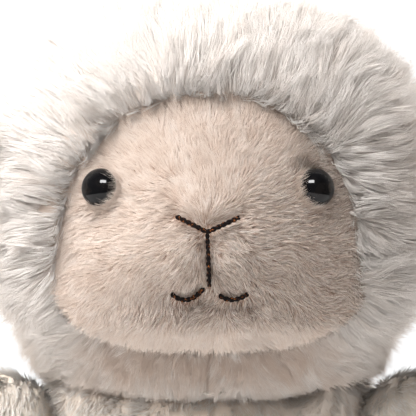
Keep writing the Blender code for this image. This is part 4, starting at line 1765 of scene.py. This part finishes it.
@dataclass
class Inside:
    """The CAD nodes that stay: the stuffing, the pellet bag, the washers and the neck's thread."""

    def dress(self, finishes: Finishes) -> None:
        """Give each of these nodes its material.

        Args:
            finishes: The sheep's materials.
        """
        kinds = {
            "stuffing": finishes.fibre,
            "eye_washer": finishes.washer,
            "pellet_bag": finishes.pellet,
            "neck_stitch": finishes.seam,
        }
        for name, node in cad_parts.items():
            for word, material in kinds.items():
                if word in name:
                    node.data.materials.clear()
                    node.data.materials.append(material)
                    log.info("%s stays, in %s", name, material.name)


# ---- studio


@dataclass
class Studio:
    """A pale floor, soft lamps and the camera of the photograph."""

    picture_width: float = 0.1315
    picture_height_middle: float = 0.1782
    camera_distance: float = 1.05
    face_depth: float = 0.02
    key_power: float = 35.5
    rear_power: float = 24.0
    window_power: float = 22.0
    world_strength: float = 0.37
    sky_rise: float = 0.35
    sky_left: float = 0.55
    sky_back: float = 2.00
    sky_front: float = -0.30
    glint: float = 0.04
    sky_colour: Colour = (1.0, 0.92, 0.85)
    floor_radius: float = 0.56
    floor_colour: Colour = (0.72, 0.72, 0.72)
    floor_fade: tuple[float, float] = (0.22, 0.30)
    white: Colour = (1.0, 1.0, 1.0)
    head: Triple = (0, 0, 0.17)

    def build(self) -> None:
        """Make the floor, the world, the lamps and the camera.

        The wide lamps leave no mirror image in the eyes, and the window gives only that.
        """
        self.floor()
        self.world()
        lamps = (
            ("key", (-0.66, -0.49, 1.22), (1.3, 1.3), self.key_power, "visible_glossy"),
            ("rear", (0.92, 0.98, 0.95), (1.2, 1.2), self.rear_power, "visible_glossy"),
            ("window", (-0.09, -1.00, 0.98), (0.74, 0.32), self.window_power, "visible_diffuse"),
        )
        for name, place, size, power, hidden in lamps:
            setattr(self.lamp(name, Vector(place), size, power), hidden, False)
        self.camera()
        bpy.context.scene.view_settings.view_transform = "Standard"

    def floor(self) -> None:
        """Lay a round pale floor that turns to the backdrop's plain white towards its rim."""
        made, bench, shader, leave = new_material("floor_paper")
        bench.feed(shader, {"Base Color": self.floor_colour, "Roughness": 0.9})
        way = {0: bench.add("TexCoord").outputs["Object"]}
        away = bench.add("VectorMath", way, operation="LENGTH").outputs["Value"]
        start, wide = self.floor_fade
        out = bench.maths("DIVIDE", bench.maths("SUBTRACT", away, start), wide, clamp=True)
        glow = bench.add("Emission", {"Color": self.white}).outputs[0]
        share = bench.maths("MULTIPLY", out, bench.seen(bench.add("LightPath")))
        blend = bench.add("MixShader", {0: share, 1: shader.outputs[0], 2: glow})
        bench.feed(leave, {0: blend.outputs[0]})
        turn = circle(96)
        rim = self.floor_radius * stacked(np.cos(turn), np.sin(turn), 0.0)
        mesh = bpy.data.meshes.new("floor")
        mesh.from_pydata(rim.tolist(), [], [tuple(range(len(rim)))])
        mesh.materials.append(made)
        linked("floor", mesh)

    def world(self) -> None:
        """Light softly from all round, more from above, the left and behind; the camera sees white.

        Reflections see white only from behind.
        """
        world = bpy.data.worlds.new("studio")
        bpy.context.scene.world = world
        world.use_nodes = True
        bench = Bench(world.node_tree)
        path = bench.add("LightPath")
        glossy = path.outputs["Is Glossy Ray"]
        way = bench.add("SeparateXYZ", {0: bench.add("TexCoord").outputs["Generated"]})
        x, y, z = way.outputs
        behind = bench.maths("MULTIPLY_ADD", y, 0.8, 0.2, clamp=True)
        mirrored = bench.maths("MULTIPLY", glossy, behind)
        seen = bench.maths("MAXIMUM", bench.seen(path), mirrored)
        rear = bench.maths("MAXIMUM", y, 0.0)
        fore = bench.maths("MAXIMUM", bench.maths("MULTIPLY", y, -1.0), 0.0)
        shares = (self.sky_rise, -self.sky_left, self.sky_back, self.sky_front)
        sky = 1.0
        for side, share in zip((z, x, rear, fore), shares):
            sky = bench.maths("MULTIPLY_ADD", side, share, sky)
        sky = bench.maths("MAXIMUM", sky, 0.0)
        even = bench.maths("MULTIPLY", bench.maths("SUBTRACT", 1.0, glossy), self.world_strength)
        even = bench.maths("MULTIPLY", even, sky)
        even = bench.maths("ADD", even, bench.maths("MULTIPLY", glossy, self.glint))
        light = {
            "Color": bench.mix(seen, self.sky_colour, self.white),
            "Strength": bench.maths("MAXIMUM", seen, even),
        }
        bench.add("OutputWorld", {0: bench.add("Background", light).outputs[0]})

    def lamp(self, name: str, place: Vector, size: tuple[float, float], power: float) -> Object:
        """Hang a soft lamp that points at the head.

        Args:
            name: The lamp's name.
            place: Where it hangs.
            size: Its width and height.
            power: Its power in watts.

        Returns:
            The lamp.
        """
        light = bpy.data.lights.new(name, "AREA")
        light.shape = "RECTANGLE"
        light.energy, light.size, light.size_y = power, *size
        obj = linked(name, light)
        obj.location = place
        obj.rotation_euler = (Vector(self.head) - place).to_track_quat("-Z", "Y").to_euler()
        return obj

    def camera(self) -> None:
        """Stand the camera level before the face, so that its picture is as wide as the photo."""
        data = bpy.data.cameras.new("camera")
        data.sensor_width = 36.0
        data.lens = data.sensor_width * self.camera_distance / self.picture_width
        obj = linked("camera", data)
        away = -self.camera_distance - self.face_depth
        obj.location = (0.0, away, self.picture_height_middle)
        obj.rotation_euler = (math.pi / 2, 0, 0)
        bpy.context.scene.camera = obj


def main() -> None:
    """Build the studio and the sheep, piece by piece."""
    logging.basicConfig(level=logging.INFO, format="%(name)s: %(message)s")
    Studio().build()
    finishes = Finishes.made()
    shape, stitches = HeadShape(), Stitches()
    eyes = [Eye(shape, side) for side in Side]
    Hood(shape).build(finishes)
    Face(shape, stitches, eyes).build(finishes)
    Embroidery(shape, stitches).build(finishes)
    for eye in eyes:
        eye.build(finishes)
        Ear(shape, eye.side).build(finishes)
    Body().build(finishes)
    Limbs().build(finishes)
    Inside().dress(finishes)


if __name__ == "__main__":
    main()
